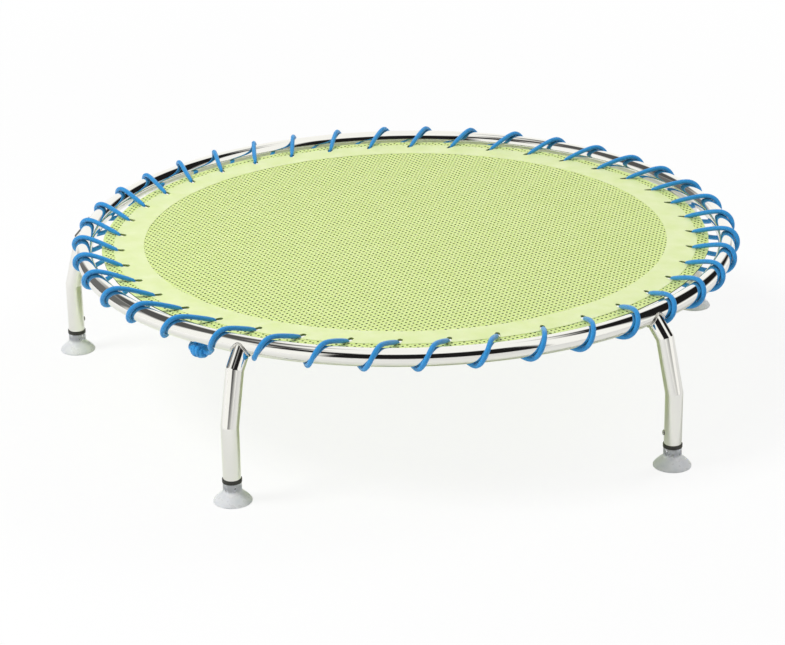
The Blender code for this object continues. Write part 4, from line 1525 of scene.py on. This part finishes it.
class TRAMPOLINE_OT_lacing(bpy.types.Operator):
    """Lace the cord through every hole and round the ring"""

    bl_idname = "trampoline.lacing"
    bl_label = "Lacing cord"

    def execute(self, context):
        sizes = context.scene.trampoline_frame
        mat = context.scene.trampoline_mat
        cord = context.scene.trampoline_cord
        finishes = context.scene.trampoline_finishes
        braid = find_material(braided_polypropylene, finishes, cord)
        over = wrap_section(sizes, mat, cord, 1)
        under = wrap_section(sizes, mat, cord, -1)[::-1]
        pitch = 360.0 / mat.holes
        last_pace = 0.78
        drift = random.Random(11)
        inner_side = sizes.ring_radius - sizes.ring_tube / 2 - cord.across / 2 - 6 * TOUCH
        past_edge = mat.radius + cord.across / 2
        past_hole = hole_bend(mat, cord)[0] + cord.across
        for number in range(1, mat.holes + 1):
            last = number == mat.holes
            advance = pitch * last_pace if last else pitch
            sway = 0.0 if last else drift.uniform(-cord.sway, cord.sway)
            start = hole_angle(mat, number)
            spots = self.place(over, start, advance, sway)
            name = f"lace_over_{number:02d}"
            self.add_strand(name, spots, cord, braid, start, inner_side, past_hole)
            spots = self.place(under, start, advance, sway)
            if last:
                self.add_lead_out(spots, sizes, mat, cord, braid)
            else:
                name = f"lace_under_{number:02d}"
                self.add_strand(name, spots, cord, braid, start - pitch, inner_side, past_edge)
        self.add_lead_in(sizes, mat, cord, braid, inner_side, past_edge)
        return {"FINISHED"}

    def place(self, section, start, advance, sway):
        """Return a section's points in space, swaying where they cross the ring."""
        spots = []
        for radius, height, share in section:
            lean = sway * math.sin(math.pi * share) ** 2
            spots.append(around(start - share * advance + lean, radius, height))
        return spots

    def pinched_cord(self, points, cord, braid):
        """Return a stretch of cord that is pinched in the hole where it starts."""
        shape = {"Pinch": cord.pinch, "Pinch Length": cord.pinch_length}
        return cord_mesh(points, cord, braid, **shape)

    def add_strand(self, name, points, cord, braid, angle, start, end):
        """Add a stretch of cord, pinched in the hole where it starts and lengthened by the seam at
        its far end. The angle, start and end are not used.
        """
        if points[0].xy.length > points[-1].xy.length:
            points = points[::-1]
        points = points + [points[-1] + (points[-1] - points[-2]).normalized() * cord.seam]
        mesh = self.pinched_cord(points, cord, braid)
        obj = finish_piece(name, mesh, braid, None, ["lace_cord"])
        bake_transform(obj)

    def add_lead_out(self, points, sizes, mat, cord, braid):
        """Lead the last wrap under the ring and into the knot."""
        middle, axis = knot_frame(sizes, mat, cord)
        end = cord.knot_length / 2
        outside = sizes.ring_radius + 0.004
        above = middle.z + 0.012
        kept = [p for p in points if math.hypot(p.x, p.y) > outside or p.z > above]
        kept = kept[: max(4, int(len(kept) * 0.4))]
        mouth = middle + axis * (end + 0.008)
        route = [kept[-2], kept[-1], mouth, middle + axis * end, middle]
        mesh = cord_mesh(kept[:-1] + smooth_line(route, 14), cord, braid)
        finish_piece("lace_lead_out", mesh, braid, "frame", ["lace_cord"])

    def add_lead_in(self, sizes, mat, cord, braid, start, end):
        """Lead the cord from the knot up under the mat and into the first hole."""
        middle, axis = knot_frame(sizes, mat, cord)
        reach = cord.knot_length / 2
        first = hole_angle(mat, 1)
        rim, bend = hole_bend(mat, cord)
        below = []
        for angle in (-120.0, -140.0, -160.0, -180.0):
            turn = math.radians(angle)
            height = -mat.thickness + bend * math.sin(turn)
            below.append(around(first, rim + bend * math.cos(turn), height))
        hole = around(first, rim - bend, -mat.thickness / 2)
        inset = sizes.ring_radius - 1.6 * cord.across
        corner = around(first - 1.1, inset, middle.z + cord.across / 3)
        between = (sizes.ring_radius + mat.radius - mat.hole_inset) / 2
        halfway = around(first - 0.6, between, -mat.thickness - 2.4 * cord.across)
        mouth = middle - axis * (reach + cord.across)
        route = [middle, middle - axis * reach, mouth, corner, halfway, *below, hole]
        line = [hole] + smooth_line(route, 8)[::-1] + [middle]
        mesh = self.pinched_cord(line, cord, braid)
        obj = finish_piece("lace_lead_in", mesh, braid, None, ["lace_cord"])
        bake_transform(obj)


class TRAMPOLINE_OT_knot(bpy.types.Operator):
    """Tie the cord's two ends under the ring"""

    bl_idname = "trampoline.knot"
    bl_label = "Knot"

    def execute(self, context):
        sizes = context.scene.trampoline_frame
        mat = context.scene.trampoline_mat
        cord = context.scene.trampoline_cord
        finishes = context.scene.trampoline_finishes
        braid = find_material(braided_polypropylene, finishes, cord)
        middle, axis = knot_frame(sizes, mat, cord)
        inward = -Vector((middle.x, middle.y, 0.0)).normalized()
        down = Vector((0.0, 0.0, -1.0))
        wound = (cord.knot_across - cord.across) / 2
        turns = 1.45
        steps = 40
        for number, side, first in ((1, 1.0, 0.06), (2, -1.0, 0.5)):
            points = []
            for step in range(steps + 1):
                share = step / steps
                angle = TAU * (turns * share + first)
                tilt = 0.3 * math.sin(angle + 0.6)
                along = cord.across * (side * (0.22 + 0.72 * share) + tilt)
                spoke = inward * math.cos(angle) + down * math.sin(angle)
                tucked = 1.0 - 0.42 * max(0.0, 4.0 * share - 3.0)
                points.append(middle + axis * along + spoke * wound * tucked)
            lead = points[0] - (points[1] - points[0]).normalized() * cord.across * 0.6
            onward = (points[-1] - points[-2]).normalized()
            away = (inward * 0.9 + down * 0.2 + axis * side * 0.3).normalized()
            bow = points[-1] + onward * cord.across * 0.4 + away * cord.tail * 0.4
            tip = bow + away * cord.tail * 0.6
            route = [lead, lead] + points + [bow, tip, tip + away * 0.001]
            line = smooth_line(route, 3)
            mesh = cord_mesh(line, cord, braid)
            name = f"knot_turns_{number}"
            finish_piece(name, mesh, braid, "frame", ["lace_knot"])
        return {"FINISHED"}


class TRAMPOLINE_OT_stage(bpy.types.Operator):
    """Set up the studio: floor, light and camera"""

    bl_idname = "trampoline.stage"
    bl_label = "Studio"

    # left, right, low and high side of each dark gap, then its softness and its depth
    gaps = (
        (-28.0, 46.0, 0.0, 54.0, 3.0, 1.0),
        (-58.0, -22.0, 36.0, 58.0, 4.0, 1.0),
        (-100.0, -52.0, 50.0, 70.0, 5.0, 0.95),
        (-166.0, -94.0, 28.0, 66.0, 5.0, 0.92),
        (-150.0, -106.0, -14.0, 32.0, 4.0, 0.85),
        (86.0, 152.0, 8.0, 62.0, 4.0, 1.0),
    )
    # name, place, diameter and power of each light
    lights = (
        ("key_softbox", (-2.0, -2.0, 3.6), 1.6, 120.0),
        ("rear_softbox", (2.0, 3.0, 2.6), 2.0, 50.0),
    )

    def execute(self, context):
        studio = context.scene.trampoline_studio
        mesh = bpy.data.meshes.new("studio_floor")
        with edited(mesh) as shape:
            bmesh.ops.create_circle(shape, cap_ends=True, radius=studio.floor_radius, segments=96)
            bmesh.ops.translate(shape, verts=shape.verts, vec=(0.0, 0.0, FLOOR - TOUCH))
        mesh.materials.append(find_material(studio_paper, studio))
        put_object("studio_floor", mesh)
        self.add_world(studio)
        for light in self.lights:
            self.add_light(*light)
        self.add_camera(studio)
        context.scene.view_settings.view_transform = "Standard"
        return {"FINISHED"}

    def add_world(self, studio):
        """Surround the trampoline with white paper; between its sheets are dark gaps.

        Only mirrors see the sheets. Directions count from the camera's, to the right.
        """
        world = bpy.data.worlds.new("studio_world")
        bpy.context.scene.world = world
        world.use_nodes = True
        tree = world.node_tree
        tree.nodes.clear()
        seen_from = add_node(tree, "ShaderNodeTexCoord").outputs["Generated"]
        facing = {"Vector": seen_from, "Angle": math.radians(90.0 - studio.azimuth)}
        direction = add_node(tree, "ShaderNodeVectorRotate", facing, rotation_type="Z_AXIS")
        axes = add_node(tree, "ShaderNodeSeparateXYZ", {0: direction})
        sides = {0: axes.outputs["Y"], 1: axes.outputs["X"]}
        aside = add_node(tree, MATHS, sides, operation="ARCTAN2")
        above = add_node(tree, MATHS, {0: axes.outputs["Z"]}, operation="ARCSINE")
        dark = 0.0
        for left, right, low, high, soft, depth in self.gaps:
            across = add_window(tree, aside, left, right, soft)
            upright = add_window(tree, above, low, high, soft)
            inside = add_node(tree, MATHS, {0: across, 1: upright}, operation="MULTIPLY")
            deep = add_node(tree, MATHS, {0: inside, 1: depth}, operation="MULTIPLY")
            dark = add_node(tree, MATHS, {0: dark, 1: deep}, operation="MAXIMUM")
        rays = add_node(tree, "ShaderNodeLightPath")
        lit_paper = (1.12, 1.12, 1.1, 1.0)
        room_light = (0.4, 0.4, 0.4, 1.0)
        white = (1.0, 1.0, 1.0, 1.0)
        seen = hex_colour("#1E1D1E")
        for share, first, second in (
            (dark, lit_paper, None),
            (rays.outputs["Is Glossy Ray"], room_light, None),
            (seen_directly(tree, rays), None, white),
        ):
            inputs = {0: share, 6: first or seen, 7: second or seen}
            seen = add_node(tree, MIX, inputs, data_type="RGBA").outputs[2]
        background = add_node(tree, "ShaderNodeBackground", {"Color": seen, "Strength": 1.0})
        add_node(tree, "ShaderNodeOutputWorld", {"Surface": background})

    def add_light(self, name, place, size, power):
        """Hang one soft light, aimed at the mat."""
        lamp = bpy.data.lights.new(name, "AREA")
        lamp.shape = "DISK"
        lamp.size = size
        lamp.energy = power
        obj = bpy.data.objects.new(name, lamp)
        bpy.context.scene.collection.objects.link(obj)
        obj.location = place
        obj.rotation_euler = (-Vector(place)).to_track_quat("-Z", "Y").to_euler()
        obj.visible_glossy = False

    def add_camera(self, studio):
        """Stand the camera where the photograph was taken."""
        lens = bpy.data.cameras.new("camera")
        lens.lens = studio.lens
        lens.sensor_width = 36.0
        camera = bpy.data.objects.new("camera", lens)
        bpy.context.scene.collection.objects.link(camera)
        azimuth = math.radians(studio.azimuth)
        tilt = math.radians(studio.elevation)
        level = Vector((-math.sin(azimuth), math.cos(azimuth), 0.0))
        ahead = level * math.cos(tilt) - Vector((0.0, 0.0, math.sin(tilt)))
        right = ahead.cross(Vector((0.0, 0.0, 1.0))).normalized()
        upward = right.cross(ahead)
        roll = math.radians(studio.roll)
        turned = right * math.cos(roll) + upward * math.sin(roll)
        upward = upward * math.cos(roll) - right * math.sin(roll)
        place = Matrix.Translation((studio.camera_x, studio.camera_y, studio.camera_z))
        facing = Matrix((turned, upward, -ahead)).transposed()
        camera.matrix_world = place @ facing.to_4x4()
        bpy.context.scene.camera = camera


OPERATORS = (
    TRAMPOLINE_OT_stage,
    TRAMPOLINE_OT_ring,
    TRAMPOLINE_OT_legs,
    TRAMPOLINE_OT_plugs,
    TRAMPOLINE_OT_screws,
    TRAMPOLINE_OT_studs,
    TRAMPOLINE_OT_cups,
    TRAMPOLINE_OT_mat,
    TRAMPOLINE_OT_tape,
    TRAMPOLINE_OT_lacing,
    TRAMPOLINE_OT_knot,
)


class TRAMPOLINE_PT_pieces(bpy.types.Panel):
    """Lists the trampoline's pieces and their sizes."""

    bl_label = "Aqua trampoline"
    bl_space_type = "VIEW_3D"
    bl_region_type = "UI"
    bl_category = "Trampoline"

    def draw(self, context):
        for made in OPERATORS:
            self.layout.operator(made.bl_idname)
        for name in SETTINGS:
            group = getattr(context.scene, name)
            box = self.layout.box()
            for key in group.__annotations__:
                box.prop(group, key)


SETTINGS = {
    "trampoline_frame": FrameSizes,
    "trampoline_feet": FootSizes,
    "trampoline_mat": MatSizes,
    "trampoline_cord": CordSizes,
    "trampoline_finishes": Finishes,
    "trampoline_studio": StudioSizes,
}
CLASSES = (*SETTINGS.values(), *OPERATORS, TRAMPOLINE_PT_pieces)


def register():
    """Make the operators, the panel and their settings known."""
    for made in CLASSES:
        bpy.utils.register_class(made)
    for name, group in SETTINGS.items():
        setattr(bpy.types.Scene, name, PointerProperty(type=group))


def unregister():
    """Take everything that register added away again."""
    for name in SETTINGS:
        delattr(bpy.types.Scene, name)
    for made in reversed(CLASSES):
        bpy.utils.unregister_class(made)


def main():
    """Build the trampoline and its studio."""
    register()
    for made in OPERATORS:
        group, name = made.bl_idname.split(".")
        getattr(getattr(bpy.ops, group), name)()


if __name__ == "__main__":
    main()
